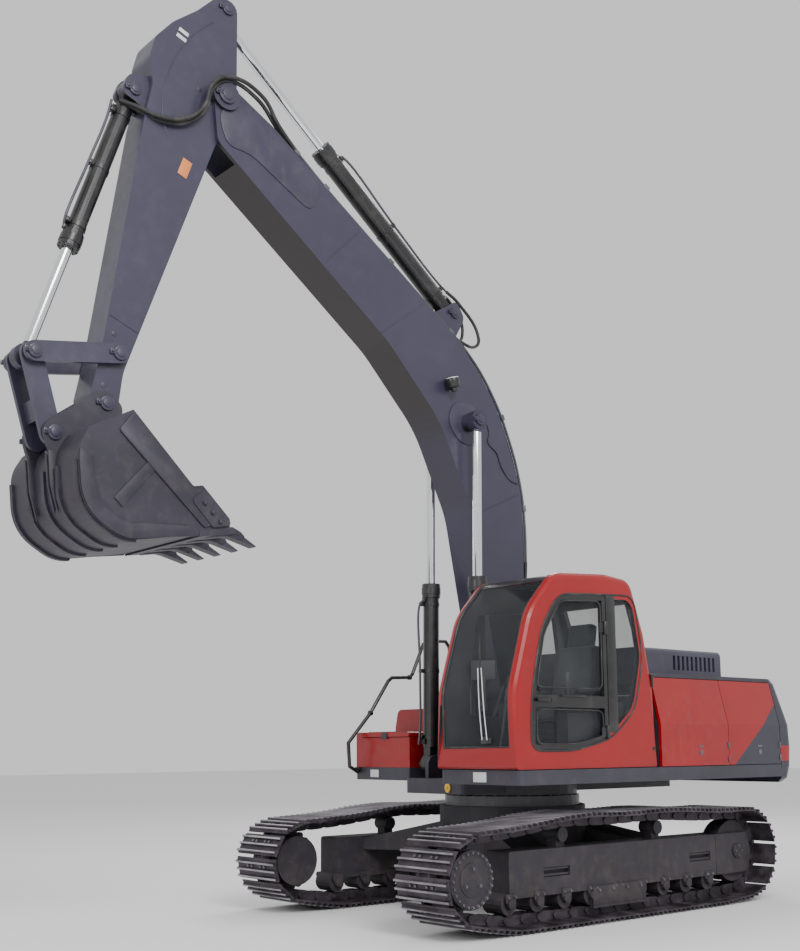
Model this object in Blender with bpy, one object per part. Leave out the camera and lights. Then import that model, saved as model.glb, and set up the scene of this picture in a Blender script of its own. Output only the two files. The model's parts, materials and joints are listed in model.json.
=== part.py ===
"""Crawler excavator of the 21-tonne class, in metres, +Z up, +X towards the boom and +Y to the left.

The undercarriage and the upper structure are laid out around the swing axis. The boom, the arm and
the bucket are each drawn in a frame of their own, whose origin is the pin they turn on, and are then
posed by the angles below. Each cylinder runs between the two pins that it joins. At the end the whole
machine is moved so that its origin is the bottom centre of its bounding box.
"""
import math

import bmesh
import bpy
from mathutils import Matrix, Vector

# ---------------------------------------------------------------- clearances and plate thicknesses
FIT_GAP = 0.0005            # between pieces that are fixed to each other
PIN_GAP = 0.004             # beside an eye, where two pieces turn on one pin
PANEL_GAP = 0.006           # around doors, lids and covers

# ---------------------------------------------------------------- tracks
TRACK_GAUGE = 2.20          # between the centre lines of the two tracks
SHOE_WIDTH = 0.60
SHOE_COUNT = 47
SHOE_HEIGHT = 0.045         # plate and grouser
GROOVE_DEPTH = 0.022        # of the gap between two shoes
LINK_HEIGHT = 0.080
LINK_WIDTH = 0.18
SPROCKET_X = 1.758
SPROCKET_Z = 0.436
SPROCKET_RADIUS = 0.369     # over the grousers
IDLER_X = -1.724
IDLER_Z = 0.447
IDLER_RADIUS = 0.417        # over the grousers
CARRIER_X = (0.62, -0.62)
CARRIER_TOP = 0.905         # top of the track over a carrier roller
TRACK_SAG = 0.022
ROLLER_COUNT = 9
ROLLER_RADIUS = 0.085
CARRIER_RADIUS = 0.060
ROLLER_REACH = 1.34         # from the middle to the last bottom roller
FINAL_DRIVE_RADIUS = 0.215

# ---------------------------------------------------------------- track frames and carbody
SIDE_FRAME_WIDTH = 0.25
SIDE_FRAME_BOTTOM = 0.250
SIDE_FRAME_TOP = 0.611
SIDE_FRAME_FRONT = 1.29
SIDE_FRAME_REAR = -1.40
YOKE_REAR = -1.94           # of the two cheeks that hold the idler
YOKE_INNER = 0.098          # from the track's centre line to a cheek
STEP_X = (0.745, -1.160)    # middles of the two recessed steps
CARBODY_BOTTOM = 0.47
CARBODY_TOP = 0.90
LEG_WIDTH = 0.36
BEARING_RADIUS = 0.62
BEARING_HEIGHT = 0.09

# ---------------------------------------------------------------- deck of the upper structure
DECK_BOTTOM = 1.12
DECK_TOP = 1.237
HALF_WIDTH = 1.352
DECK_FRONT_LEFT = 1.255
DECK_FRONT_RIGHT = 0.775
BRACKET_INNER = 0.214       # inner face of the two plates that carry the boom
BRACKET_PLATE = 0.042
TURNTABLE_BOTTOM = 1.00

# ---------------------------------------------------------------- cab
CAB_INNER_Y = 0.412
CAB_OUTER_Y = 1.332
CAB_WALL = 0.050
CAB_REAR = -0.455
CAB_FRONT = 1.290
CAB_HEIGHT = 1.655          # from the deck to the roof
CAB_EDGE_RADIUS = 0.055
PILLAR_WIDTH = 0.070
DOOR_HINGE_X = 0.170
GLASS_THICKNESS = 0.006

# ---------------------------------------------------------------- engine compartment and counterweight
BODY_FRONT = -0.500
BODY_REAR = -2.345
BODY_SEAM = -1.500
BODY_TOP = 2.065
CREASE_Z = 1.615
TOP_HALF_WIDTH = 1.245      # of the body at its top edge
BODY_PANEL = 0.030
TAIL_RADIUS = 2.885
HOOD_FRONT = -0.640
HOOD_REAR = -1.840
HOOD_LEFT = 1.060
HOOD_RIGHT = -0.960
HOOD_HEIGHT = 0.255
HOOD_SHEET = 0.025
LOUVRE_COUNT = 10

# ---------------------------------------------------------------- right side: tool box and tanks
RIGHT_INNER_Y = -0.560
TOOL_BOX_REAR = 0.270
TOOL_BOX_HEIGHT = 0.280
TOOL_BOX_RIM = 0.092         # fixed strip beside the lid, under the handrail
FUEL_TANK_REAR = -0.480
FUEL_TANK_HEIGHT = 0.560
HYDRAULIC_TANK_REAR = -1.060
LID_THICKNESS = 0.045
RAIL_RADIUS = 0.019

# ---------------------------------------------------------------- boom
BOOM_FOOT = (0.150, 1.950)  # x, z of the pin
BOOM_LENGTH = 5.660         # foot pin to arm pin
BOOM_ANGLE = 56.0           # of the line between those pins, above level
BOOM_WIDTH = 0.370
BOOM_FORK_DEPTH = 0.550     # of the slot that the arm swings in
BOOM_CYLINDER_FOOT = (0.720, 1.275)
BOOM_CYLINDER_Y = 0.312
BOOM_CYLINDER_PIN = (2.300, 0.918)      # along the boom, above its pin line
ARM_CYLINDER_FOOT = (3.215, 1.482)

# ---------------------------------------------------------------- arm
ARM_LENGTH = 2.900          # boom pin to bucket pin
ARM_ANGLE = -70.6
ARM_WIDTH = 0.290
ARM_CYLINDER_PIN = (-0.768, 0.228)      # along the arm, towards its front
ARM_SLOT_DEPTH = 0.300      # behind that pin, for the rod's eye
BUCKET_CYLINDER_FOOT = (0.406, 0.650)
ROCKER_PIN = (ARM_LENGTH - 0.404, 0.043)

# ---------------------------------------------------------------- bucket and its linkage
BUCKET_ANGLE = -137.2       # of the line from the bucket pin to the tooth tips
BUCKET_WIDTH = 1.120
BUCKET_TIP_RADIUS = 1.458
BUCKET_SHELL = 0.025
BUCKET_SIDE = 0.030
BUCKET_LINK_PIN = (-0.096, 0.470)       # along the bucket, towards its back
ROCKER_LENGTH = 0.659
H_LINK_LENGTH = 0.585
LINK_THICKNESS = 0.036
EAR_THICKNESS = 0.040
EAR_RADIUS = 0.092
ROCKER_BOSS = 0.012         # how far the arm's boss stands out under a rocker link
TOOTH_COUNT = 5

# ---------------------------------------------------------------- cylinders
BOOM_BARREL = dict(radius=0.073, length=1.62)
ARM_BARREL = dict(radius=0.084, length=1.88)
BUCKET_BARREL = dict(radius=0.070, length=1.44)
ROD_RADIUS = 0.042
EYE_RADIUS = 0.092
EYE_WIDTH = 0.086
BARREL_START = 0.150        # from the foot pin to the round part of a barrel

ROUND = 24                  # sides of a round piece


# ================================================================ materials
def material(name, colour, roughness, metallic=0.0):
    made = bpy.data.materials.new(name)
    made.use_nodes = True
    shader = made.node_tree.nodes["Principled BSDF"]
    shader.inputs["Base Color"].default_value = (*colour, 1.0)
    shader.inputs["Roughness"].default_value = roughness
    shader.inputs["Metallic"].default_value = metallic
    return made


for startup_object in list(bpy.data.objects):
    bpy.data.objects.remove(startup_object, do_unlink=True)

RED = material("red_paint", (0.50, 0.012, 0.020), 0.38)
BOOM_BLUE = material("boom_paint", (0.125, 0.125, 0.215), 0.42)
DECK_GREY = material("deck_paint", (0.045, 0.045, 0.065), 0.50)
HOOD_GREY = material("hood_paint", (0.115, 0.115, 0.190), 0.45)
TRACK_STEEL = material("track_steel", (0.155, 0.130, 0.165), 0.62, 0.5)
FRAME_PAINT = material("undercarriage_paint", (0.075, 0.068, 0.085), 0.60)
BLACK = material("black_paint", (0.012, 0.012, 0.014), 0.45)
CHROME = material("chrome", (0.75, 0.76, 0.78), 0.12, 1.0)
CUT_STEEL = material("bucket_steel", (0.135, 0.130, 0.170), 0.55, 0.3)
GLASS = material("glass", (0.45, 0.55, 0.53), 0.05)
TRIM = material("cab_trim", (0.030, 0.030, 0.034), 0.70)
SEAT_CLOTH = material("seat_cloth", (0.045, 0.048, 0.056), 0.90)
ENGINE_IRON = material("engine_iron", (0.090, 0.090, 0.095), 0.60)


# ================================================================ outlines
def arc(centre, radius, start, end, steps):
    """Points on an arc, from one angle to another in degrees."""
    points = []
    for step in range(steps + 1):
        angle = math.radians(start + (end - start) * step / steps)
        points.append((centre[0] + radius * math.cos(angle), centre[1] + radius * math.sin(angle)))
    return points


def rounded(corners, steps=4, inward=0.0):
    """Outline of (u, v, radius) corners, each rounded by an arc that meets both its sides.

    With inward, the outline is moved in by that distance first, or out if it is negative.
    """
    if inward:
        places = inset([corner[:2] for corner in corners], inward)
        corners = [(*place, max(corner[2] - inward, 0.0)) for place, corner in zip(places, corners)]
    outline = []
    count = len(corners)
    for index, (u, v, radius) in enumerate(corners):
        corner = Vector((u, v))
        before = Vector(corners[index - 1][:2]) - corner
        after = Vector(corners[(index + 1) % count][:2]) - corner
        half = before.angle(after) / 2
        if radius <= 0 or half > math.pi / 2 - 0.02:
            outline.append((u, v))
            continue
        reach = min(radius / math.tan(half), before.length * 0.48, after.length * 0.48)
        radius = reach * math.tan(half)
        middle = corner + (before.normalized() + after.normalized()).normalized() * radius / math.sin(half)
        start = corner + before.normalized() * reach - middle
        turn = start.angle_signed(corner + after.normalized() * reach - middle)
        for step in range(steps + 1):
            spoke = start.copy()
            spoke.rotate(Matrix.Rotation(-turn * step / steps, 2))
            outline.append(tuple(middle + spoke))
    return outline


def inset(outline, distance):
    """Moves each side of a convex-cornered outline inwards."""
    area = sum(a[0] * b[1] - b[0] * a[1] for a, b in zip(outline, outline[1:] + outline[:1]))
    side = 1 if area > 0 else -1
    moved = []
    for index, point in enumerate(outline):
        here = Vector(point)
        before = (here - Vector(outline[index - 1])).normalized()
        after = (Vector(outline[(index + 1) % len(outline)]) - here).normalized()
        across = Vector((-before.y - after.y, before.x + after.x)) * side
        across.normalize()
        lean = max(0.3, across.dot(Vector((-after.y, after.x)) * side))
        moved.append(tuple(here + across * distance / lean))
    return moved


# ================================================================ solids
PLANES = {"X": (1, 2, 0), "Y": (0, 2, 1), "Z": (0, 1, 2)}


def point_on(axis, u, v, along):
    """A point with its outline coordinates in the plane across an axis."""
    first, second, third = PLANES[axis]
    place = [0.0, 0.0, 0.0]
    place[first], place[second], place[third] = u, v, along
    return Vector(place)


def solid(rings):
    """A closed mesh through rings of equally many points, with a cap on the first and the last."""
    shape = bmesh.new()
    loops = [[shape.verts.new(point) for point in ring] for ring in rings]
    for lower, upper in zip(loops, loops[1:]):
        for index in range(len(lower)):
            following = (index + 1) % len(lower)
            shape.faces.new((lower[index], lower[following], upper[following], upper[index]))
    shape.faces.new(list(reversed(loops[0])))
    shape.faces.new(loops[-1])
    bmesh.ops.recalc_face_normals(shape, faces=shape.faces)
    return shape


def prism(outline, axis, start, end):
    """An outline in the plane across an axis, extruded along it."""
    return solid([[point_on(axis, u, v, along) for u, v in outline] for along in (start, end)])


def box(low, high):
    outline = [(low[0], low[1]), (high[0], low[1]), (high[0], high[1]), (low[0], high[1])]
    return prism(outline, "Z", low[2], high[2])


def disc(axis, centre, radius, start, end, sides=ROUND):
    """A cylinder across an outline plane, centred on a point of that plane."""
    return prism(arc(centre, radius, 0, 360 - 360 / sides, sides - 1), axis, start, end)


def pipe(points, radius, sides=10):
    """A round bar through points, mitred at each bend."""
    rings = []
    places = [Vector(point) for point in points]
    across = Vector((0, 0, 1))
    for index, place in enumerate(places):
        before = (place - places[index - 1]).normalized() if index else None
        after = (places[index + 1] - place).normalized() if index + 1 < len(places) else None
        way = ((before or after) + (after or before)).normalized()
        across = (across - way * across.dot(way))
        if across.length < 0.1:
            across = Vector((0, 1, 0)) - way * way.y
        across.normalize()
        other = way.cross(across)
        rings.append([place + (across * math.cos(turn) + other * math.sin(turn)) * radius
                      for turn in (math.tau * side / sides for side in range(sides))])
    return solid(rings)


def merged(*shapes):
    """Several shapes in one mesh, for one Boolean."""
    together = bmesh.new()
    for shape in shapes:
        scratch = bpy.data.meshes.new("scratch")
        shape.to_mesh(scratch)
        together.from_mesh(scratch)
        bpy.data.meshes.remove(scratch)
        shape.free()
    return together


def make_object(name, shape, paint=None):
    mesh = bpy.data.meshes.new(name)
    shape.to_mesh(mesh)
    shape.free()
    made = bpy.data.objects.new(name, mesh)
    bpy.context.scene.collection.objects.link(made)
    if paint:
        mesh.materials.append(paint)
    return made


def boolean(shape, other, operation):
    """The exact union or difference of two shapes."""
    body = make_object("boolean_body", shape)
    tool = make_object("boolean_tool", other)
    step = body.modifiers.new("boolean", "BOOLEAN")
    step.object = tool
    step.operation = operation
    step.solver = "EXACT"
    evaluated = body.evaluated_get(bpy.context.evaluated_depsgraph_get())
    result = bmesh.new()
    result.from_mesh(evaluated.to_mesh())
    evaluated.to_mesh_clear()
    for scratch in (body, tool):
        mesh = scratch.data
        bpy.data.objects.remove(scratch, do_unlink=True)
        bpy.data.meshes.remove(mesh)
    bmesh.ops.dissolve_limit(result, angle_limit=0.001, verts=result.verts, edges=result.edges)
    return result


def joined(first, *others):
    for other in others:
        first = boolean(first, other, "UNION")
    return first


def cut(shape, *tools):
    for tool in tools:
        shape = boolean(shape, tool, "DIFFERENCE")
    return shape


# ================================================================ pivots and nodes
def pivot(name, parent, location, turn=0.0):
    """An empty on a joint's axis. turn is about the axis across the machine, nose up."""
    empty = bpy.data.objects.new(name, None)
    empty.empty_display_size = 0.3
    bpy.context.scene.collection.objects.link(empty)
    empty.parent = parent
    empty.location = location
    empty.rotation_euler = (0, -math.radians(turn), 0)
    bpy.context.view_layer.update()
    return empty


def node(name, shape, paint, parent, own_frame=False):
    """A named node. Its shape is in the machine's frame, or in its parent's own frame."""
    made = make_object(name, shape, paint)
    made.data.shade_smooth()
    made.data.set_sharp_from_angle(angle=math.radians(30))
    if not own_frame:
        made.data.transform(parent.matrix_world.inverted())
    made.parent = parent
    return made


# ================================================================ tracks
def top_run(count):
    """Height of the track's top over a stretch, sagging between the wheels that carry it."""
    stops = [(SPROCKET_X, SPROCKET_Z + SPROCKET_RADIUS), (CARRIER_X[0], CARRIER_TOP),
             (CARRIER_X[1], CARRIER_TOP), (IDLER_X, IDLER_Z + IDLER_RADIUS)]
    points = []
    for (x0, z0), (x1, z1) in zip(stops, stops[1:]):
        for step in range(count):
            share = step / count
            sag = 4 * TRACK_SAG * share * (1 - share)
            points.append((x0 + (x1 - x0) * share, z0 + (z1 - z0) * share - sag))
    return points


def track_path():
    """The path of the grouser tips, counter-clockwise in side view from over the sprocket."""
    path = top_run(6)
    path += arc((IDLER_X, IDLER_Z), IDLER_RADIUS, 90, 262, 14)
    path += [(-ROLLER_REACH, 0.0), (ROLLER_REACH, 0.0)]
    path += arc((SPROCKET_X, SPROCKET_Z), SPROCKET_RADIUS, -84, 78, 14)
    return path


def along_path(path, inwards):
    """A function that gives the point at a share of a closed path, moved inwards by a distance."""
    points = [Vector(point) for point in path]
    lengths = [0.0]
    for here, there in zip(points, points[1:] + points[:1]):
        lengths.append(lengths[-1] + (there - here).length)

    def place(share):
        distance = (share % 1.0) * lengths[-1]
        index = max(i for i, length in enumerate(lengths[:-1]) if length <= distance)
        here, there = points[index], points[(index + 1) % len(points)]
        way = (there - here).normalized()
        spot = here + way * (distance - lengths[index])
        return (spot.x - way.y * inwards, spot.y + way.x * inwards)
    return place


def track_outline():
    """Outer outline with a groove between each two shoes, and the smooth one under the plates."""
    tip = along_path(track_path(), 0.0)
    groove = along_path(track_path(), GROOVE_DEPTH)
    outline = []
    for shoe in range(SHOE_COUNT):
        for share, place in ((0.06, tip), (0.90, tip), (0.92, groove), (1.04, groove)):
            outline.append(place((shoe + share) / SHOE_COUNT))
    return outline


def ring_between(outer, inner, axis, start, end):
    return cut(prism(outer, axis, start, end), prism(inner, axis, start - 0.1, end + 0.1))


def inner_outline(depth):
    steps = 72
    place = along_path(track_path(), depth)
    return [place(step / steps) for step in range(steps)]


def track(side):
    centre = side * TRACK_GAUGE / 2
    chain_depth = SHOE_HEIGHT + LINK_HEIGHT
    plates = ring_between(track_outline(), inner_outline(SHOE_HEIGHT), "Y",
                          centre - SHOE_WIDTH / 2, centre + SHOE_WIDTH / 2)
    chain = ring_between(inner_outline(SHOE_HEIGHT - 0.008), inner_outline(chain_depth), "Y",
                         centre - LINK_WIDTH / 2, centre + LINK_WIDTH / 2)
    return joined(plates, chain)


def track_frame(side):
    """The box of one side with its bottom rollers, carrier rollers and guards."""
    centre = side * TRACK_GAUGE / 2
    half = SIDE_FRAME_WIDTH / 2
    rear, front = SIDE_FRAME_REAR, SIDE_FRAME_FRONT
    low, high = SIDE_FRAME_BOTTOM, SIDE_FRAME_TOP
    outline = rounded([(rear, low, 0), (front, low, 0.02), (front, high, 0.02), (rear, high, 0)], 2)
    frame = prism(outline, "Y", centre - half, centre + half)
    cheek = rounded([(rear + 0.02, low, 0), (YOKE_REAR + 0.04, low, 0.05), (YOKE_REAR, low + 0.17, 0.05),
                     (YOKE_REAR + 0.04, high, 0.05), (rear + 0.02, high, 0)], 3)
    for way in (-1, 1):
        near, far = sorted((centre + way * YOKE_INNER, centre + way * half))
        frame = joined(frame, prism(cheek, "Y", near, far))
    outer = centre + side * half
    near, far = sorted((outer - side * 0.045, outer + side * 0.001))
    for x in STEP_X:
        frame = cut(frame, box((x - 0.155, near, low + 0.140), (x + 0.155, far, low + 0.215)))
    floor = SHOE_HEIGHT + LINK_HEIGHT
    roller_z = floor + ROLLER_RADIUS + FIT_GAP
    reach = ROLLER_REACH - 0.06
    for index in range(ROLLER_COUNT):
        x = -reach + 2 * reach * index / (ROLLER_COUNT - 1)
        frame = joined(frame, disc("Y", (x, roller_z), ROLLER_RADIUS, centre - 0.105, centre + 0.105, 16))
    frame = joined(frame, box((-0.34, centre - 0.150, floor - 0.02), (0.34, centre - 0.112, low + 0.03)),
                   box((-0.34, centre + 0.112, floor - 0.02), (0.34, centre + 0.150, low + 0.03)))
    carrier_z = CARRIER_TOP - floor - CARRIER_RADIUS - 0.010
    for x in CARRIER_X:
        frame = joined(frame,
                       box((x - 0.05, centre - 0.05, high - 0.03), (x + 0.05, centre + 0.05, carrier_z)),
                       disc("Y", (x, carrier_z), CARRIER_RADIUS, centre - 0.085, centre + 0.085, 16))
    return frame


def sprocket(side):
    """Sprocket disc with the drum of its final drive, fixed to the track frame."""
    centre = side * TRACK_GAUGE / 2
    spot = (SPROCKET_X, SPROCKET_Z)
    teeth_radius = SPROCKET_RADIUS - SHOE_HEIGHT - LINK_HEIGHT - 0.012
    plate = disc("Y", spot, teeth_radius, centre - 0.035, centre + 0.035, 32)
    inner = centre - side * 0.16
    outer = centre + side * 0.175
    drum = disc("Y", spot, FINAL_DRIVE_RADIUS, min(inner, outer), max(inner, outer), 32)
    rim = disc("Y", spot, FINAL_DRIVE_RADIUS + 0.012, min(centre + side * 0.06, centre + side * 0.13),
               max(centre + side * 0.06, centre + side * 0.13), 32)
    nose = disc("Y", spot, FINAL_DRIVE_RADIUS * 0.62, min(outer - side * 0.01, outer + side * 0.022),
                max(outer - side * 0.01, outer + side * 0.022), 32)
    return joined(plate, drum, rim, nose)


def idler(side):
    centre = side * TRACK_GAUGE / 2
    spot = (IDLER_X, IDLER_Z)
    radius = IDLER_RADIUS - SHOE_HEIGHT - LINK_HEIGHT - 0.012
    wheel = disc("Y", spot, radius, centre - 0.080, centre + 0.080, 32)
    hub = disc("Y", spot, 0.085, centre - YOKE_INNER + PIN_GAP, centre + YOKE_INNER - PIN_GAP, 20)
    return joined(wheel, hub)


def carbody():
    """The X frame: a round middle and four legs that widen to the track frames."""
    inner = TRACK_GAUGE / 2 - SIDE_FRAME_WIDTH / 2 - FIT_GAP
    body = disc("Z", (0, 0), BEARING_RADIUS + 0.05, CARBODY_BOTTOM, CARBODY_TOP, 32)
    for side in (-1, 1):
        for end in (-1, 1):
            foot = (end * 0.80, side * inner)
            leg = [(end * 0.05, 0.0), (foot[0] - end * LEG_WIDTH / 2, foot[1]),
                   (foot[0] + end * LEG_WIDTH / 2, foot[1]), (end * 0.55, side * 0.12)]
            low = [Vector((x, y, CARBODY_BOTTOM + 0.02)) for x, y in leg]
            high = [Vector((x, y, 0.80 if abs(y) < 0.5 else SIDE_FRAME_TOP - 0.02)) for x, y in leg]
            body = joined(body, solid([low, high]))
    return body


def build_undercarriage(root):
    node("carbody", carbody(), FRAME_PAINT, root)
    top = CARBODY_TOP + BEARING_HEIGHT
    bearing = cut(disc("Z", (0, 0), BEARING_RADIUS, CARBODY_TOP + FIT_GAP, top, 48),
                  disc("Z", (0, 0), BEARING_RADIUS - 0.12, 0, 2, 48))
    node("swing_bearing", bearing, CUT_STEEL, root)
    for side, label in ((1, "left"), (-1, "right")):
        node(f"track_frame_{label}", track_frame(side), FRAME_PAINT, root)
        node(f"track_{label}", track(side), TRACK_STEEL, root)
        node(f"sprocket_{label}", sprocket(side), FRAME_PAINT, root)
        node(f"idler_{label}", idler(side), FRAME_PAINT, root)


# ================================================================ upper structure
def turntable_frame():
    """Deck with its skirts, the turntable under it and the plates that carry the boom."""
    deck_outline = rounded([(BODY_REAR, HALF_WIDTH, 0), (BODY_REAR, -HALF_WIDTH, 0),
                            (DECK_FRONT_RIGHT, -HALF_WIDTH, 0.03),
                            (DECK_FRONT_RIGHT, RIGHT_INNER_Y, 0.02), (0.35, RIGHT_INNER_Y, 0.02),
                            (0.35, CAB_INNER_Y, 0.02), (DECK_FRONT_LEFT, CAB_INNER_Y, 0.03),
                            (DECK_FRONT_LEFT, HALF_WIDTH, 0.05)], 3)
    frame = prism(deck_outline, "Z", DECK_BOTTOM, DECK_TOP)
    turntable_radius = BEARING_RADIUS - 0.02
    frame = joined(frame, disc("Z", (0, 0), turntable_radius, TURNTABLE_BOTTOM, DECK_BOTTOM + 0.02, 32))
    beam = rounded([(-1.9, -0.38, 0.05), (0.98, -0.38, 0.05), (0.98, 0.38, 0.05), (-1.9, 0.38, 0.05)], 3)
    frame = joined(frame, prism(beam, "Z", TURNTABLE_BOTTOM + 0.02, DECK_BOTTOM + 0.03))
    foot_x, foot_z = BOOM_FOOT
    cylinder_x, cylinder_z = BOOM_CYLINDER_FOOT
    plate = rounded([(BODY_FRONT + 0.03, DECK_BOTTOM + 0.02, 0),
                     (cylinder_x + 0.12, DECK_BOTTOM - 0.05, 0.04),
                     (cylinder_x + 0.12, cylinder_z + 0.07, 0.09),
                     (cylinder_x - 0.12, cylinder_z + 0.09, 0.05),
                     (foot_x + 0.17, foot_z + 0.02, 0.12), (foot_x + 0.02, foot_z + 0.16, 0.13),
                     (foot_x - 0.20, foot_z + 0.10, 0.12), (BODY_FRONT + 0.03, foot_z - 0.35, 0.10)], 4)
    for side in (-1, 1):
        inner, outer = side * BRACKET_INNER, side * (BRACKET_INNER + BRACKET_PLATE)
        low, high = min(inner, outer), max(inner, outer)
        boss_end = side * (BRACKET_INNER + BRACKET_PLATE + 0.03)
        frame = joined(frame, prism(plate, "Y", low, high),
                       disc("Y", BOOM_FOOT, 0.095, min(inner, boss_end), max(inner, boss_end), 20))
    return frame


def counterweight():
    """Rings of one plan outline: a bowed tail between round corners, leaning in above and below."""
    front = BODY_REAR - PANEL_GAP
    corner = 0.10
    rings = []
    for z, tail, bow, half in ((1.065, 2.77, 0.30, HALF_WIDTH - 0.05),
                               (1.105, 2.82, 0.30, HALF_WIDTH - 0.01),
                               (1.22, TAIL_RADIUS - 0.02, 0.31, HALF_WIDTH),
                               (1.40, TAIL_RADIUS, 0.31, HALF_WIDTH),
                               (CREASE_Z, TAIL_RADIUS - 0.015, 0.31, HALF_WIDTH),
                               (1.74, TAIL_RADIUS - 0.045, 0.30, HALF_WIDTH - 0.030),
                               (BODY_TOP - 0.05, TAIL_RADIUS - 0.235, 0.16, TOP_HALF_WIDTH + 0.012),
                               (BODY_TOP, TAIL_RADIUS - 0.285, 0.13, TOP_HALF_WIDTH - 0.020)):
        left = [(front, half)] + arc((bow - tail + corner, half - corner), corner, 90, 152, 3)
        for step in range(1, 6):
            y = (half - corner) * (1 - step / 6)
            left.append((bow * (y / half) ** 2 - tail, y))
        outline = left + [(-tail, 0.0)] + [(x, -y) for x, y in reversed(left)]
        rings.append([(x, y, z) for x, y in outline])
    return solid(rings)


def side_profile(outer_gap, bottom, top, thickness):
    """Cross-section of a side panel that stands upright to the crease and then leans in."""
    lean = (HALF_WIDTH - TOP_HALF_WIDTH) / (BODY_TOP - CREASE_Z)
    outer = HALF_WIDTH - outer_gap
    top_y = outer - lean * (top - CREASE_Z)
    return [(outer, bottom), (outer, CREASE_Z), (top_y, top), (top_y - thickness, top),
            (outer - thickness, CREASE_Z - 0.01), (outer - thickness, bottom)]


def side_door(side, front, rear):
    profile = [(side * y, z) for y, z in
               side_profile(0, DECK_TOP + PANEL_GAP, BODY_TOP - 0.035 - PANEL_GAP, BODY_PANEL)]
    return prism(profile, "X", rear + PANEL_GAP / 2, front - PANEL_GAP / 2)


def body_housing():
    """Top and partitions of the engine compartment, open at the sides and under the hood."""
    top = BODY_TOP
    lid = box((BODY_REAR, -TOP_HALF_WIDTH, top - 0.035), (BODY_FRONT, TOP_HALF_WIDTH, top))
    opening = box((HOOD_REAR + 0.07, HOOD_RIGHT + 0.07, top - 0.1),
                  (HOOD_FRONT - 0.07, HOOD_LEFT - 0.07, top + 0.1))
    housing = cut(lid, opening)
    inner = HALF_WIDTH - BODY_PANEL - 0.006
    half_wall = [(inner, DECK_TOP + FIT_GAP), (inner, CREASE_Z - 0.02), (TOP_HALF_WIDTH - 0.05, top - 0.03)]
    wall = half_wall + [(-y, z) for y, z in reversed(half_wall)]
    for x in (BODY_FRONT - 0.03, BODY_SEAM - 0.015, BODY_REAR):
        housing = joined(housing, prism(wall, "X", x, x + 0.03))
    tunnel = box((BODY_SEAM - 0.2, -1.10, DECK_TOP + 0.10), (BODY_SEAM + 0.2, 1.10, top - 0.10))
    tank_corner = box((HYDRAULIC_TANK_REAR - 0.001, -2, DECK_BOTTOM),
                      (1, RIGHT_INNER_Y + 0.06 + PANEL_GAP, 3))
    return cut(housing, tunnel, tank_corner)


def engine_hood():
    """Raised cover with louvre slots in its left and right sides, open underneath."""
    low = BODY_TOP + PANEL_GAP
    high = BODY_TOP + HOOD_HEIGHT
    outer = rounded([(HOOD_LEFT, low, 0), (HOOD_LEFT, high, 0.05), (HOOD_RIGHT, high, 0.05),
                     (HOOD_RIGHT, low, 0)], 3)
    hood = prism(outer, "X", HOOD_REAR, HOOD_FRONT)
    hollow = box((HOOD_REAR + HOOD_SHEET, HOOD_RIGHT + HOOD_SHEET, low - 0.1),
                 (HOOD_FRONT - HOOD_SHEET, HOOD_LEFT - HOOD_SHEET, high - HOOD_SHEET))
    hood = cut(hood, hollow)
    spacing = 0.068
    first = HOOD_REAR + 0.10
    slots = [box((first + spacing * index, HOOD_LEFT - 0.06, low + 0.05),
                 (first + spacing * index + 0.034, HOOD_LEFT + 0.02,
                  high - 0.065)) for index in range(LOUVRE_COUNT)]
    slots += [box((first + spacing * index, HOOD_RIGHT - 0.02, low + 0.05),
                  (first + spacing * index + 0.034, HOOD_RIGHT + 0.06,
                   high - 0.065)) for index in range(LOUVRE_COUNT)]
    return cut(hood, merged(*slots))


def tool_box():
    """Open case with a fixed, rounded strip along its right edge, outside the lid."""
    low, high = DECK_TOP + FIT_GAP, DECK_TOP + TOOL_BOX_HEIGHT
    front, rear = DECK_FRONT_RIGHT - 0.01, TOOL_BOX_REAR
    outer, inner = -HALF_WIDTH, RIGHT_INNER_Y
    rim, top = outer + TOOL_BOX_RIM - PANEL_GAP, high + PANEL_GAP + LID_THICKNESS
    profile = [(outer, low), (inner, low), (inner, high), (rim, high), (rim, top)]
    profile += arc((outer + 0.04, top - 0.04), 0.04, 90, 180, 4)
    case = prism(profile, "X", rear, front)
    return cut(case, box((rear + 0.03, rim - 0.012, low + 0.03), (front - 0.03, inner - 0.03, high + 0.1)))


def tool_box_lid():
    low = DECK_TOP + TOOL_BOX_HEIGHT + PANEL_GAP
    high = low + LID_THICKNESS
    front, rear = DECK_FRONT_RIGHT, TOOL_BOX_REAR + 0.02
    outer = -HALF_WIDTH + TOOL_BOX_RIM
    profile = rounded([(outer, low, 0), (RIGHT_INNER_Y, low, 0), (RIGHT_INNER_Y, high, 0.03),
                       (outer, high, 0)], 4)
    return prism(profile, "X", rear, front)


def tank(front, rear, height):
    low, high = DECK_TOP + FIT_GAP, DECK_TOP + height
    crease = min(CREASE_Z, high - 0.1)
    lean = (HALF_WIDTH - TOP_HALF_WIDTH) / (BODY_TOP - CREASE_Z)
    top_y = HALF_WIDTH - lean * (high - crease)
    profile = rounded([(-HALF_WIDTH, low, 0), (RIGHT_INNER_Y + 0.06, low, 0),
                       (RIGHT_INNER_Y + 0.06, high, 0.05),
                       (-top_y, high, 0.06), (-HALF_WIDTH, crease, 0)], 4)
    return prism(profile, "X", rear + PANEL_GAP / 2, front - PANEL_GAP / 2)


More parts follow.
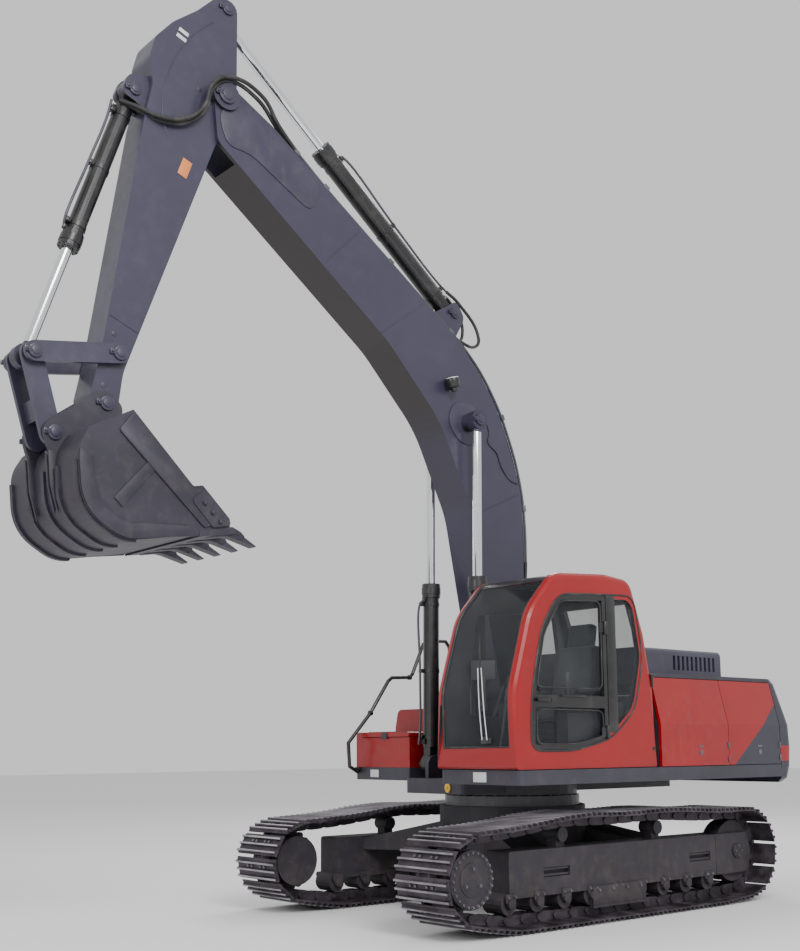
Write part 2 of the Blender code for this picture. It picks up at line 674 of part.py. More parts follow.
def handrail():
    """One bent tube beside the way up, with a foot at each end and a branch over the tank."""
    y = -1.290
    path = [(DECK_FRONT_RIGHT + 0.02, y, 1.19), (0.90, y, 1.245), (0.915, y, 1.47), (0.64, y, 1.76),
            (0.41, y, 2.08), (0.36, y, 2.115), (0.13, y, 2.125), (0.09, y, 2.16), (-0.06, y, 2.47),
            (-0.11, y, 2.505), (-0.37, y, 2.515), (-0.42, y, 2.46), (-0.44, y + 0.05, 1.90)]
    return pipe(path, RAIL_RADIUS)


# ================================================================ cab
def cab_outline(inward=0.0):
    """Side view of the cab: upright front that bends back into the roof, and a sloping rear."""
    base = DECK_TOP + PANEL_GAP
    roof = DECK_TOP + CAB_HEIGHT
    return rounded([(CAB_REAR, base, 0.02), (CAB_FRONT, base, 0.03), (CAB_FRONT + 0.018, base + 0.62, 0.5),
                    (CAB_FRONT - 0.19, base + 1.28, 0.5), (CAB_FRONT - 0.50, roof - 0.04, 0.22),
                    (0.15, roof, 0.5), (CAB_REAR + 0.27, roof - 0.03, 0.14),
                    (CAB_REAR + 0.10, base + 1.15, 0.3), (CAB_REAR, base + 0.66, 0.3)], 5, inward)


def door_side_outline(inward=0.0):
    """The opening in the left side that the door and the quarter window share."""
    base = DECK_TOP + 0.155
    return rounded([(1.12, base, 0.07), (1.10, base + 0.46, 0.4), (0.97, base + 0.99, 0.4),
                    (0.76, base + 1.275, 0.14), (-0.20, base + 1.325, 0.16), (-0.30, base + 0.80, 0.3),
                    (-0.18, base + 0.34, 0.3), (0.14, base + 0.10, 0.2), (0.60, base, 0.3)], 5, inward)


def split(outline, axis, x_from, x_to, y0, y1):
    """The part of an extruded side outline between two places along the machine."""
    wanted = box((x_from, y0 - 1, 0), (x_to, y1 + 1, 5))
    return boolean(prism(outline, axis, y0, y1), wanted, "INTERSECT")


def cab_shell():
    side = cab_outline()
    shell = prism(side, "Y", CAB_INNER_Y, CAB_OUTER_Y)
    bevelled = [edge for edge in shell.edges if abs(edge.verts[0].co.y - edge.verts[1].co.y) < 1e-6
                and (edge.verts[0].co.z + edge.verts[1].co.z) / 2 > DECK_TOP + 0.3]
    bmesh.ops.bevel(shell, geom=bevelled, offset=CAB_EDGE_RADIUS, segments=3, profile=0.5, affect="EDGES")
    hollow = prism(cab_outline(CAB_WALL), "Y", CAB_INNER_Y + CAB_WALL, CAB_OUTER_Y - CAB_WALL)
    base = DECK_TOP
    roof = base + CAB_HEIGHT
    front = box((0.90, CAB_INNER_Y + PILLAR_WIDTH, base + 0.175),
                (1.6, CAB_OUTER_Y - PILLAR_WIDTH, roof + 0.1))
    roof_part = box((0.62, CAB_INNER_Y + PILLAR_WIDTH, base + 1.15),
                    (0.91, CAB_OUTER_Y - PILLAR_WIDTH, roof + 0.1))
    rear = box((-0.8, CAB_INNER_Y + 0.10, base + 0.72), (-0.14, CAB_OUTER_Y - 0.10, base + 1.42))
    opening = door_side_outline()
    door = split(opening, "Y", DOOR_HINGE_X, 1.4, CAB_OUTER_Y - 0.12, CAB_OUTER_Y + 0.1)
    quarter = split(door_side_outline(0.030), "Y", -1, DOOR_HINGE_X - 0.115, CAB_OUTER_Y - 0.12,
                    CAB_OUTER_Y + 0.1)
    right = prism(rounded([(0.98, base + 0.45, 0.06), (0.86, base + 1.32, 0.10), (-0.14, base + 1.42, 0.10),
                           (-0.24, base + 0.70, 0.10), (-0.10, base + 0.45, 0.06)], 4), "Y",
                  CAB_INNER_Y - 0.1, CAB_INNER_Y + 0.12)
    return cut(shell, joined(hollow, front, roof_part, rear, door, quarter, right))


def sheet_between(outer, inner, x_from, z_from, y0, y1):
    """A glass sheet that follows the cab's side view between two insets."""
    band = ring_between(outer, inner, "Y", y0, y1)
    return boolean(band, box((x_from, y0 - 1, z_from), (5, y1 + 1, 5)), "INTERSECT")


def build_glass(upper):
    outer, inner = cab_outline(0.014), cab_outline(0.014 + GLASS_THICKNESS)
    y0, y1 = CAB_INNER_Y + PILLAR_WIDTH + 0.004, CAB_OUTER_Y - PILLAR_WIDTH - 0.004
    node("windshield", sheet_between(outer, inner, 0.625, DECK_TOP + 0.18, y0, y1), GLASS, upper)
    rear = boolean(ring_between(outer, inner, "Y", CAB_INNER_Y + 0.104, CAB_OUTER_Y - 0.104),
                   box((-0.8, -2, DECK_TOP + 0.724), (-0.142, 2, DECK_TOP + 1.416)), "INTERSECT")
    node("rear_window", rear, GLASS, upper)
    base = DECK_TOP
    pane = rounded([(0.97, base + 0.455, 0.06), (0.853, base + 1.312, 0.10), (-0.13, base + 1.41, 0.10),
                    (-0.23, base + 0.705, 0.10), (-0.095, base + 0.455, 0.06)], 4)
    right = prism(pane, "Y", CAB_INNER_Y + 0.02, CAB_INNER_Y + 0.02 + GLASS_THICKNESS)
    node("right_window", right, GLASS, upper)
    quarter = split(door_side_outline(0.034), "Y", -1, DOOR_HINGE_X - 0.119,
                    CAB_OUTER_Y - 0.020, CAB_OUTER_Y - 0.020 + GLASS_THICKNESS)
    node("quarter_window", quarter, GLASS, upper)


def cab_door():
    outline = door_side_outline(PANEL_GAP)
    frame = split(outline, "Y", DOOR_HINGE_X + PANEL_GAP, 1.4, CAB_OUTER_Y - 0.045, CAB_OUTER_Y)
    pane, sill = door_side_outline(0.045), DECK_TOP + 0.50
    window = split(pane, "Y", DOOR_HINGE_X + 0.05, 1.4, CAB_OUTER_Y - 0.2, CAB_OUTER_Y + 0.1)
    band = box((0, CAB_OUTER_Y - 0.3, sill), (1.3, CAB_OUTER_Y + 0.2, sill + 0.10))
    return cut(frame, cut(window, band))


def door_glass():
    sheet = split(door_side_outline(0.033), "Y", DOOR_HINGE_X + 0.038, 1.4,
                  CAB_OUTER_Y - 0.045 - FIT_GAP - GLASS_THICKNESS, CAB_OUTER_Y - 0.045 - FIT_GAP)
    return sheet


def seat():
    y = (CAB_INNER_Y + CAB_OUTER_Y) / 2
    floor = DECK_TOP + PANEL_GAP + CAB_WALL
    pedestal = box((0.16, y - 0.18, floor + FIT_GAP), (0.58, y + 0.18, floor + 0.36))
    cushion = box((0.10, y - 0.25, floor + 0.34), (0.64, y + 0.25, floor + 0.46))
    back = prism(rounded([(0.03, floor + 0.38, 0.04), (0.17, floor + 0.38, 0.04),
                          (0.06, floor + 0.98, 0.05),
                          (-0.08, floor + 0.98, 0.05)], 3), "Y", y - 0.25, y + 0.25)
    head = prism(rounded([(-0.07, floor + 0.96, 0.02), (0.02, floor + 0.96, 0.02),
                          (-0.02, floor + 1.20, 0.05),
                          (-0.12, floor + 1.20, 0.05)], 3), "Y", y - 0.13, y + 0.13)
    return joined(cushion, pedestal, back, head)


def consoles():
    """The two armrest consoles, tied together behind the seat's pedestal."""
    y = (CAB_INNER_Y + CAB_OUTER_Y) / 2
    floor = DECK_TOP + PANEL_GAP + CAB_WALL + FIT_GAP
    shape = box((-0.12, y - 0.40, floor), (0.00, y + 0.40, floor + 0.20))
    for side in (-1, 1):
        low, high = sorted((y + side * 0.275, y + side * 0.40))
        shape = joined(shape, box((-0.10, low, floor + 0.02), (0.62, high, floor + 0.50)))
    return shape


def build_upper(upper, pivots):
    node("turntable_frame", turntable_frame(), DECK_GREY, upper)
    node("counterweight", counterweight(), HOOD_GREY, upper)
    node("body_housing", body_housing(), DECK_GREY, upper)
    engine_x = (HOOD_FRONT + HOOD_REAR) / 2
    node("engine_block",
         box((engine_x - 0.45, -0.75, DECK_TOP + 0.12), (engine_x + 0.10, 0.55, BODY_TOP - 0.10)),
         ENGINE_IRON, upper)
    node("tool_box", tool_box(), RED, upper)
    node("tool_box_lid", tool_box_lid(), RED, pivots["tool_box_lid"])
    node("fuel_tank", tank(TOOL_BOX_REAR, FUEL_TANK_REAR, FUEL_TANK_HEIGHT), RED, upper)
    node("hydraulic_tank", tank(FUEL_TANK_REAR, HYDRAULIC_TANK_REAR, BODY_TOP - DECK_TOP - PANEL_GAP),
         RED, upper)
    node("handrail", handrail(), BLACK, upper)
    node("engine_hood", engine_hood(), HOOD_GREY, pivots["engine_hood"])
    node("left_front_side_door", side_door(1, BODY_FRONT, BODY_SEAM), RED, pivots["left_front_side_door"])
    node("left_rear_side_door", side_door(1, BODY_SEAM, BODY_REAR), RED, pivots["left_rear_side_door"])
    node("right_side_door", side_door(-1, HYDRAULIC_TANK_REAR, BODY_REAR), RED, pivots["right_side_door"])
    node("cab_shell", cab_shell(), RED, upper)
    build_glass(upper)
    node("cab_door", cab_door(), BLACK, pivots["cab_door"])
    node("cab_door_glass", door_glass(), GLASS, pivots["cab_door"])
    node("seat", seat(), SEAT_CLOTH, upper)
    node("control_consoles", consoles(), TRIM, upper)


# ================================================================ boom, arm and bucket
def boom_shape():
    """Gooseneck box, with a foot between the deck's plates and a fork that takes the arm."""
    outline = rounded([(-0.15, -0.02, 0.12), (0.02, -0.16, 0.12), (1.086, 0.286, 0.9), (1.60, 0.500, 0.9),
                       (2.45, 0.620, 1.2), (3.284, 0.470, 1.2), (5.36, -0.275, 0.10), (5.62, -0.14, 0.14),
                       (5.79, 0.0, 0.12), (5.66, 0.14, 0.12), (5.30, 0.335, 0.4), (2.95, 1.290, 0.7),
                       (2.30, 1.375, 1.2), (1.45, 1.190, 1.0), (0.742, 0.720, 0.9)], 5)
    half = BOOM_WIDTH / 2
    shape = prism(outline, "Y", -half, half)
    fork = disc("Y", (BOOM_LENGTH, 0), BOOM_FORK_DEPTH, -ARM_WIDTH / 2 - PIN_GAP,
                ARM_WIDTH / 2 + PIN_GAP, 32)
    shape = cut(shape, fork)
    for side in (-1, 1):
        inner, outer = side * (half - 0.01), side * (half + 0.030)
        low, high = min(inner, outer), max(inner, outer)
        shape = joined(shape, disc("Y", (BOOM_LENGTH, 0), 0.125, low, high, 20))
        pin_end = side * (BOOM_CYLINDER_Y - EYE_WIDTH / 2 - PIN_GAP)
        low, high = min(inner, pin_end), max(inner, pin_end)
        shape = joined(shape, disc("Y", BOOM_CYLINDER_PIN, 0.085, low, high, 20))
    ears = ear_pair(ear_outline(ARM_CYLINDER_FOOT, 0.34, 0.11, 0.42), EYE_WIDTH / 2 + PIN_GAP)
    return joined(shape, *ears)


def arm_shape():
    """Tapered box with the long top end that the arm cylinder pushes."""
    x, z = ARM_CYLINDER_PIN
    length = ARM_LENGTH
    rocker_x, rocker_z = ROCKER_PIN
    outline = rounded([(x - 0.10, z - 0.06, 0.09), (-0.12, -0.10, 0.4), (0.05, -0.165, 0.15),
                       (0.42, -0.085, 0.3),
                       (length - 0.30, -0.050, 0.5), (length, -0.115, 0.11), (length + 0.115, 0.0, 0.11),
                       (length - 0.02, 0.12, 0.10), (rocker_x + 0.02, rocker_z + 0.125, 0.3),
                       (0.62, 0.520, 0.3),
                       (0.30, 0.560, 0.2), (0.12, 0.665, 0.15), (-0.08, 0.680, 0.15), (-0.30, 0.600, 0.3),
                       (-0.55, 0.455, 0.3), (x - 0.05, z + 0.11, 0.09)], 4)
    half = ARM_WIDTH / 2
    shape = prism(outline, "Y", -half, half)
    slot = box((x - 0.5, -EYE_WIDTH / 2 - PIN_GAP, z - 0.5),
               (x + ARM_SLOT_DEPTH, EYE_WIDTH / 2 + PIN_GAP, z + 0.5))
    shape = cut(shape, slot)
    shape = joined(shape, *ear_pair(ear_outline(BUCKET_CYLINDER_FOOT, 0.26, 0.10, 0.20),
                                    EYE_WIDTH / 2 + PIN_GAP))
    boss = half + ROCKER_BOSS
    return joined(shape, disc("Y", ROCKER_PIN, 0.075, -boss, boss, 16))


def bucket_shape():
    """Wrapped shell open towards the machine, with two ears, side cutters and teeth."""
    half = BUCKET_WIDTH / 2
    link_x, link_z = BUCKET_LINK_PIN
    back = rounded([(0.10, 0.075, 0), (0.79, 0.095, 0.03), (0.835, 0.030, 0.02), (1.16, 0.035, 0.03),
                    (1.225, 0.110, 0.02), (0.70, 0.800, 0.30), (0.34, 0.880, 0.34),
                    (0.02, 0.600, 0.40), (-0.02, 0.420, 0.10)], 6)
    shell = prism(back, "Y", -half, half)
    inside = rounded([(0.13, 0.00, 0), (1.40, -0.10, 0), (1.25, 0.045, 0.0), (0.68, 0.765, 0.27),
                      (0.35, 0.845, 0.31),
                      (0.055, 0.590, 0.36), (0.03, 0.400, 0.05)], 6)
    shell = cut(shell, prism(inside, "Y", -half + BUCKET_SIDE, half - BUCKET_SIDE))
    ear_half = ARM_WIDTH / 2 + PIN_GAP + 0.004
    ear = rounded([(-0.09, -0.07, 0.09), (0.10, -0.09, 0.09), (0.22, 0.10, 0.05), (0.10, 0.60, 0.02),
                   (0.02, 0.60, 0.02), (link_x + 0.02, link_z + 0.10, 0.09),
                   (link_x - 0.10, link_z + 0.03, 0.09)], 4)
    for side in (-1, 1):
        low, high = sorted((side * ear_half, side * (ear_half + EAR_THICKNESS)))
        shell = joined(shell, prism(ear, "Y", low, high))
        low, high = sorted((side * (half - 0.005), side * (half + 0.022)))
        cutter = rounded([(0.86, 0.060, 0.02), (1.20, 0.060, 0.02), (1.10, 0.200, 0.03),
                          (0.84, 0.190, 0.03)], 3)
        shell = joined(shell, prism(cutter, "Y", low, high))
    lip = prism([(1.05, 0.290), (1.20, 0.085), (1.262, 0.060), (1.262, 0.085), (1.075, 0.330)], "Y",
                -half - 0.005, half + 0.005)
    shell = joined(shell, lip)
    for index in range(TOOTH_COUNT):
        y = (index / (TOOTH_COUNT - 1) - 0.5) * (BUCKET_WIDTH - 0.13)
        tooth = [(1.16, 0.185), (1.22, 0.055), (1.30, 0.035), (BUCKET_TIP_RADIUS, -0.004),
                 (BUCKET_TIP_RADIUS, 0.006), (1.25, 0.120)]
        shell = joined(shell, prism(tooth, "Y", y - 0.042, y + 0.042))
    return shell


def ear_outline(pin, base_from, base_to, depth):
    """Side view of an ear: round over the pin, and wider at its base."""
    x, z = pin
    radius = EAR_RADIUS
    return rounded([(x - base_from, z - depth, 0), (x + base_to, z - depth, 0),
                    (x + radius, z - radius * 0.2, 0.03),
                    (x + radius, z + radius, radius), (x - radius, z + radius, radius)], 5)


def ear_pair(outline, gap):
    """The two ears beside an eye, as two prisms."""
    return [prism(outline, "Y", *sorted((side * (gap + EAR_THICKNESS), side * gap))) for side in (-1, 1)]


def cylinder_barrel(radius, length):
    """Barrel along +X from the eye at its foot, with a gland at its open end."""
    eye = joined(disc("Y", (0, 0), EYE_RADIUS, -EYE_WIDTH / 2, EYE_WIDTH / 2, 20),
                 box((0.0, -EYE_WIDTH / 2, -radius * 0.7),
                     (BARREL_START + 0.02, EYE_WIDTH / 2, radius * 0.7)))
    tube = cut(joined(disc("X", (0, 0), radius, BARREL_START, length, ROUND),
                      disc("X", (0, 0), radius + 0.012, length - 0.10, length + 0.03, ROUND)),
               disc("X", (0, 0), ROD_RADIUS + 0.003, BARREL_START + 0.06, length + 1, ROUND))
    return joined(tube, eye)


def cylinder_rod(reach, barrel_length):
    """Rod along +X that ends in its eye at the reach, and starts inside the barrel."""
    inside = 0.12
    shape = disc("X", (0, 0), ROD_RADIUS, barrel_length - inside, reach - EYE_RADIUS * 0.6, ROUND)
    return joined(shape, disc("Y", (reach, 0), EYE_RADIUS, -EYE_WIDTH / 2, EYE_WIDTH / 2, 20))


def world_xz(frame, along, above):
    place = frame.matrix_world @ Vector((along, 0, above))
    return Vector((place.x, place.z))


def angle_of(way):
    return math.degrees(math.atan2(way.y, way.x))


def add_cylinder(names, base, foot, end, barrel, parent, y=0.0):
    """A barrel that turns on the foot pin and a rod that slides in it, as they stand at rest."""
    reach = (end - foot).length
    turn = angle_of(end - foot) - base
    place = parent.matrix_world.inverted() @ Vector((foot.x, y, foot.y))
    axis = pivot(names[0] + "_pivot", parent, place, turn)
    node(names[0], cylinder_barrel(**barrel), BLACK, axis, own_frame=True)
    node(names[1], cylinder_rod(reach, barrel["length"]), CHROME, axis, own_frame=True)
    return axis


def circles_meet(first, first_radius, second, second_radius, side):
    """Where two circles cross, on one side of the line between their centres."""
    across = second - first
    distance = across.length
    along = (first_radius ** 2 - second_radius ** 2 + distance ** 2) / (2 * distance)
    height = math.sqrt(first_radius ** 2 - along ** 2)
    way = across / distance
    return first + way * along + Vector((-way.y, way.x)) * height * side


def link_bar(length, radius, y0, y1):
    outline = arc((0, 0), radius, 90, 270, 8) + arc((length, 0), radius, -90, 90, 8)
    return prism(outline, "Y", y0, y1)


def build_equipment(upper):
    boom = pivot("boom_foot_pivot", upper, (BOOM_FOOT[0], 0, BOOM_FOOT[1]), BOOM_ANGLE)
    arm = pivot("arm_pivot", boom, (BOOM_LENGTH, 0, 0), ARM_ANGLE - BOOM_ANGLE)
    bucket = pivot("bucket_pivot", arm, (ARM_LENGTH, 0, 0), BUCKET_ANGLE - ARM_ANGLE)
    node("boom", boom_shape(), BOOM_BLUE, boom, own_frame=True)
    node("arm", arm_shape(), BOOM_BLUE, arm, own_frame=True)
    node("bucket", bucket_shape(), CUT_STEEL, bucket, own_frame=True)

    foot = Vector(BOOM_CYLINDER_FOOT)
    for side, label in ((1, "left"), (-1, "right")):
        add_cylinder((f"boom_cylinder_barrel_{label}", f"boom_cylinder_rod_{label}"), 0.0, foot,
                     world_xz(boom, *BOOM_CYLINDER_PIN), BOOM_BARREL, upper, side * BOOM_CYLINDER_Y)
    add_cylinder(("arm_cylinder_barrel", "arm_cylinder_rod"), BOOM_ANGLE, world_xz
                 (boom, *ARM_CYLINDER_FOOT),
                 world_xz(arm, *ARM_CYLINDER_PIN), ARM_BARREL, boom)

    rocker_foot = world_xz(arm, *ROCKER_PIN)
    bucket_link = world_xz(bucket, *BUCKET_LINK_PIN)
    knuckle = circles_meet(rocker_foot, ROCKER_LENGTH, bucket_link, H_LINK_LENGTH, 1)
    add_cylinder(("bucket_cylinder_barrel", "bucket_cylinder_rod"), ARM_ANGLE,
                 world_xz(arm, *BUCKET_CYLINDER_FOOT), knuckle, BUCKET_BARREL, arm)
    rocker = pivot("rocker_pivot", arm, (ROCKER_PIN[0], 0, ROCKER_PIN[1]),
                   angle_of(knuckle - rocker_foot) - ARM_ANGLE)
    outer = ARM_WIDTH / 2 + ROCKER_BOSS + PIN_GAP + LINK_THICKNESS
    for side, label in ((1, "left"), (-1, "right")):
        low, high = sorted((side * (outer - LINK_THICKNESS), side * outer))
        node(f"rocker_link_{label}", link_bar(ROCKER_LENGTH, 0.075, low, high), BOOM_BLUE, rocker,
             own_frame=True)
    place = bucket.matrix_world.inverted() @ Vector((bucket_link.x, 0, bucket_link.y))
    h_link = pivot("h_link_pivot", bucket, place, angle_of(knuckle - bucket_link) - BUCKET_ANGLE)
    high = ARM_WIDTH / 2 - PIN_GAP
    plates = [link_bar(H_LINK_LENGTH, 0.080,
                       *sorted((side * (high - LINK_THICKNESS), side * high))) for side in (-1, 1)]
    bar = box((0.12, -high + 0.01, -0.045), (0.27, high - 0.01, 0.045))
    node("h_link", joined(bar, *plates), BOOM_BLUE, h_link, own_frame=True)


def centre_on_bounding_box(root):
    """Moves the machine so that its origin is the bottom centre of its bounding box."""
    bpy.context.view_layer.update()
    corners = [piece.matrix_world @ vertex.co for piece in bpy.data.objects if piece.type == "MESH"
               for vertex in piece.data.vertices]
    middle = [(min(c[i] for c in corners) + max(c[i] for c in corners)) / 2 for i in (0, 1)]
    root.location = (-middle[0], -middle[1], -min(c.z for c in corners))
    bpy.context.view_layer.update()


def build():
    root = pivot("excavator", None, (0, 0, 0))
    build_undercarriage(root)
    upper = pivot("swing_axis", root, (0, 0, 0))
    places = {"tool_box_lid": (TOOL_BOX_REAR + 0.02, 0, DECK_TOP + TOOL_BOX_HEIGHT + 0.03),
              "engine_hood": (HOOD_FRONT, 0, BODY_TOP + PANEL_GAP),
              "left_front_side_door": (BODY_SEAM + PANEL_GAP / 2, HALF_WIDTH, 0),
              "left_rear_side_door": (BODY_REAR + PANEL_GAP / 2, HALF_WIDTH, 0),
              "right_side_door": (BODY_REAR + PANEL_GAP / 2, -HALF_WIDTH, 0),
              "cab_door": (DOOR_HINGE_X + PANEL_GAP, CAB_OUTER_Y + 0.012, 0)}
    pivots = {name: pivot(name + "_pivot", upper, place) for name, place in places.items()}
    build_upper(upper, pivots)
    build_equipment(upper)
    centre_on_bounding_box(root)


build()
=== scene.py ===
# %% [markdown]
# # Crawler excavator: the looks
# The imported model gives every solid, pin and body. This file adds what a designer leaves for the last
# pass: finishes, track shoes, hoses, gaskets, lamps, bolts and the fittings of the cab. It starts by
# loading the frame.

# %% Load the frame
import json
import math

import bmesh
import bpy
from mathutils import Matrix, Vector


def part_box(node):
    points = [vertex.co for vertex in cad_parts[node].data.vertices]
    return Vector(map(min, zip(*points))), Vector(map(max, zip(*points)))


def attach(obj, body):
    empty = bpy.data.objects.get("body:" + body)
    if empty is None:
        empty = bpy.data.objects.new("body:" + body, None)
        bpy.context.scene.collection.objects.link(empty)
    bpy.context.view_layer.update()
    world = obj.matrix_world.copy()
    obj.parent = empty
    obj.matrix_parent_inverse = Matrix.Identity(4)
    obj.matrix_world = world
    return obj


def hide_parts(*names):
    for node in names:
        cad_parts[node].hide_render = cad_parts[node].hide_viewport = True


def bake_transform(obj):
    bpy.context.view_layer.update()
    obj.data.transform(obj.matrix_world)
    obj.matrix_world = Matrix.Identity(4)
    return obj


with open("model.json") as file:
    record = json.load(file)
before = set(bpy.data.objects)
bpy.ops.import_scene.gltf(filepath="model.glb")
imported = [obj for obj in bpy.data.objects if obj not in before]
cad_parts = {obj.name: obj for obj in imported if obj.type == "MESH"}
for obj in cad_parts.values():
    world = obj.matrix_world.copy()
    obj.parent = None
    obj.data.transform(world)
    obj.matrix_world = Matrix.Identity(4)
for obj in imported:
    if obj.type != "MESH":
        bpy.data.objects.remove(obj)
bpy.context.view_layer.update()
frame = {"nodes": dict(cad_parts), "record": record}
joints = {joint["name"]: joint for joint in frame["record"]["behaviour"]["joints"]}
print("joints:", len(joints), "nodes:", len(frame["nodes"]))

# %% [markdown]
# A pin's place is a joint's place in the record, and a panel's place is its node's box. Long members
# such as the boom are easier to dress in a frame of their own, which runs from pin to pin, so a small
# class turns a distance along the member and a height above it into a point of the machine.


# %% Places that come from the frame
def pin(name):
    return Vector(joints[name]["pos_m"])


class Member:
    """A frame from one pin towards another. above is a quarter turn nose-up from along."""

    def __init__(self, start, end):
        self.origin = start
        self.length = (end - start).length
        self.along = (end - start).normalized()
        self.above = Vector((-self.along.z, 0, self.along.x))

    def at(self, along, above, y=0.0):
        return self.origin + self.along * along + self.above * above + Vector((0, y, 0))

    def matrix(self, along=0.0, above=0.0, y=0.0):
        """Axes of a shape drawn here: X along the member, Y across the machine, Z above it."""
        columns = (self.along, Vector((0, 1, 0)), self.above)
        turn = Matrix([[column[row] for column in columns] for row in range(3)]).to_4x4()
        return Matrix.Translation(self.at(along, above, y)) @ turn


def level(x=0.0, y=0.0, z=0.0):
    return Matrix.Translation((x, y, z))


EYE_RADIUS = 0.092            # of the eye at the end of a rod
boom = Member(pin("boom_lift"), pin("arm_swing"))
arm = Member(pin("arm_swing"), pin("bucket_curl"))
foot = pin("bucket_cylinder_foot")
stroke = Vector(joints["bucket_cylinder_stroke"]["axis"])
rod_end_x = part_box("bucket_cylinder_rod")[1].x - EYE_RADIUS
bucket_cylinder = Member(foot, foot + stroke * ((rod_end_x - foot.x) / stroke.x))
knuckle = bucket_cylinder.at(bucket_cylinder.length, 0)
boom_rod_pin = boom.at(2.300, 0.918)
arm_rod_pin = arm.at(-0.768, 0.228)
swing_x = pin("swing").x
print(f"boom {boom.length:.3f} m, arm {arm.length:.3f} m")

# %% [markdown]
# The camera comes first, because every later choice is judged through it. It stands at eye height on the
# front left, tilted up a little, with a small vertical shift of the lens.

# %% Camera
CAMERA_PLACE = Vector((8.199 + swing_x, 8.082, 1.424))
CAMERA_HEADING = math.radians(229.68)
CAMERA_TILT = math.radians(8.29)
CAMERA_ROLL = math.radians(0.41)
LENS_MM = 46.07
SENSOR_MM = 36
SHIFT_UP = 0.0994

camera_data = bpy.data.cameras.new("camera")
camera_data.lens = LENS_MM
camera_data.sensor_width = SENSOR_MM
camera_data.shift_y = SHIFT_UP
camera = bpy.data.objects.new("camera", camera_data)
bpy.context.scene.collection.objects.link(camera)
heading = Matrix.Rotation(CAMERA_HEADING - math.pi / 2, 4, "Z")
tilt = Matrix.Rotation(math.pi / 2 + CAMERA_TILT, 4, "X")
roll = Matrix.Rotation(-CAMERA_ROLL, 4, "Z")
camera.matrix_world = Matrix.Translation(CAMERA_PLACE) @ heading @ tilt @ roll
bpy.context.scene.camera = camera

# %% [markdown]
# A plain studio suits a machine: a pale floor, one large soft light from the upper left of the view, a
# weaker one from the front, one from behind, and a bright surround that fills the shadows and gives
# chrome and glass something to mirror.

# %% Floor and light
STUDIO_REACH = 60
STUDIO_DROP = 0.002           # keeps the floor clear of the shoes

floor_mesh = bmesh.new()
bmesh.ops.create_grid(floor_mesh, x_segments=1, y_segments=1, size=STUDIO_REACH)
floor_data = bpy.data.meshes.new("studio_floor")
floor_mesh.to_mesh(floor_data)
floor_mesh.free()
studio_floor = bpy.data.objects.new("studio_floor", floor_data)
studio_floor.location.z = -STUDIO_DROP
bpy.context.scene.collection.objects.link(studio_floor)


def area_light(name, place, target, size, power):
    data = bpy.data.lights.new(name, "AREA")
    data.size = size
    data.energy = power
    lamp = bpy.data.objects.new(name, data)
    lamp.location = place
    lamp.rotation_euler = (Vector(target) - Vector(place)).to_track_quat("-Z", "Y").to_euler()
    bpy.context.scene.collection.objects.link(lamp)
    return lamp


area_light("key_light", (5.0, 13.0, 11.0), (-1.0, 0.0, 3.0), 6.0, 1900)
area_light("front_light", (14.0, 3.0, 6.0), (0.5, 0.0, 3.0), 5.0, 420)
area_light("back_light", (-9.0, -6.0, 12.0), (-1.0, 0.0, 3.0), 6.0, 700)

surround = bpy.data.worlds.new("studio")
surround.use_nodes = True
bpy.context.scene.world = surround
surround.node_tree.nodes["Background"].inputs["Color"].default_value = (1.0, 1.0, 1.0, 1)
surround.node_tree.nodes["Background"].inputs["Strength"].default_value = 0.85

# %% [markdown]
# Shader maths reads best as plain expressions. The class below wraps an output socket, so that
# `1 - mask * 0.5` adds the Math nodes that it needs. Every other node comes from `Finish.node`, which
# sets the node's settings first and then the values or links of its sockets.


# %% Shader expressions
class Value:
    def __init__(self, finish, socket):
        self.finish = finish
        self.socket = socket

    def maths(self, operation, first, second=None):
        inputs = {0: first} if second is None else {0: first, 1: second}
        return self.finish.node("ShaderNodeMath", {"operation": operation}, inputs)

    def __add__(self, other):
        return self.maths("ADD", self, other)

    def __radd__(self, other):
        return self.maths("ADD", other, self)

    def __sub__(self, other):
        return self.maths("SUBTRACT", self, other)

    def __rsub__(self, other):
        return self.maths("SUBTRACT", other, self)

    def __mul__(self, other):
        return self.maths("MULTIPLY", self, other)

    def __rmul__(self, other):
        return self.maths("MULTIPLY", other, self)

    def __gt__(self, other):
        return self.maths("GREATER_THAN", self, other)

    def __lt__(self, other):
        return self.maths("LESS_THAN", self, other)


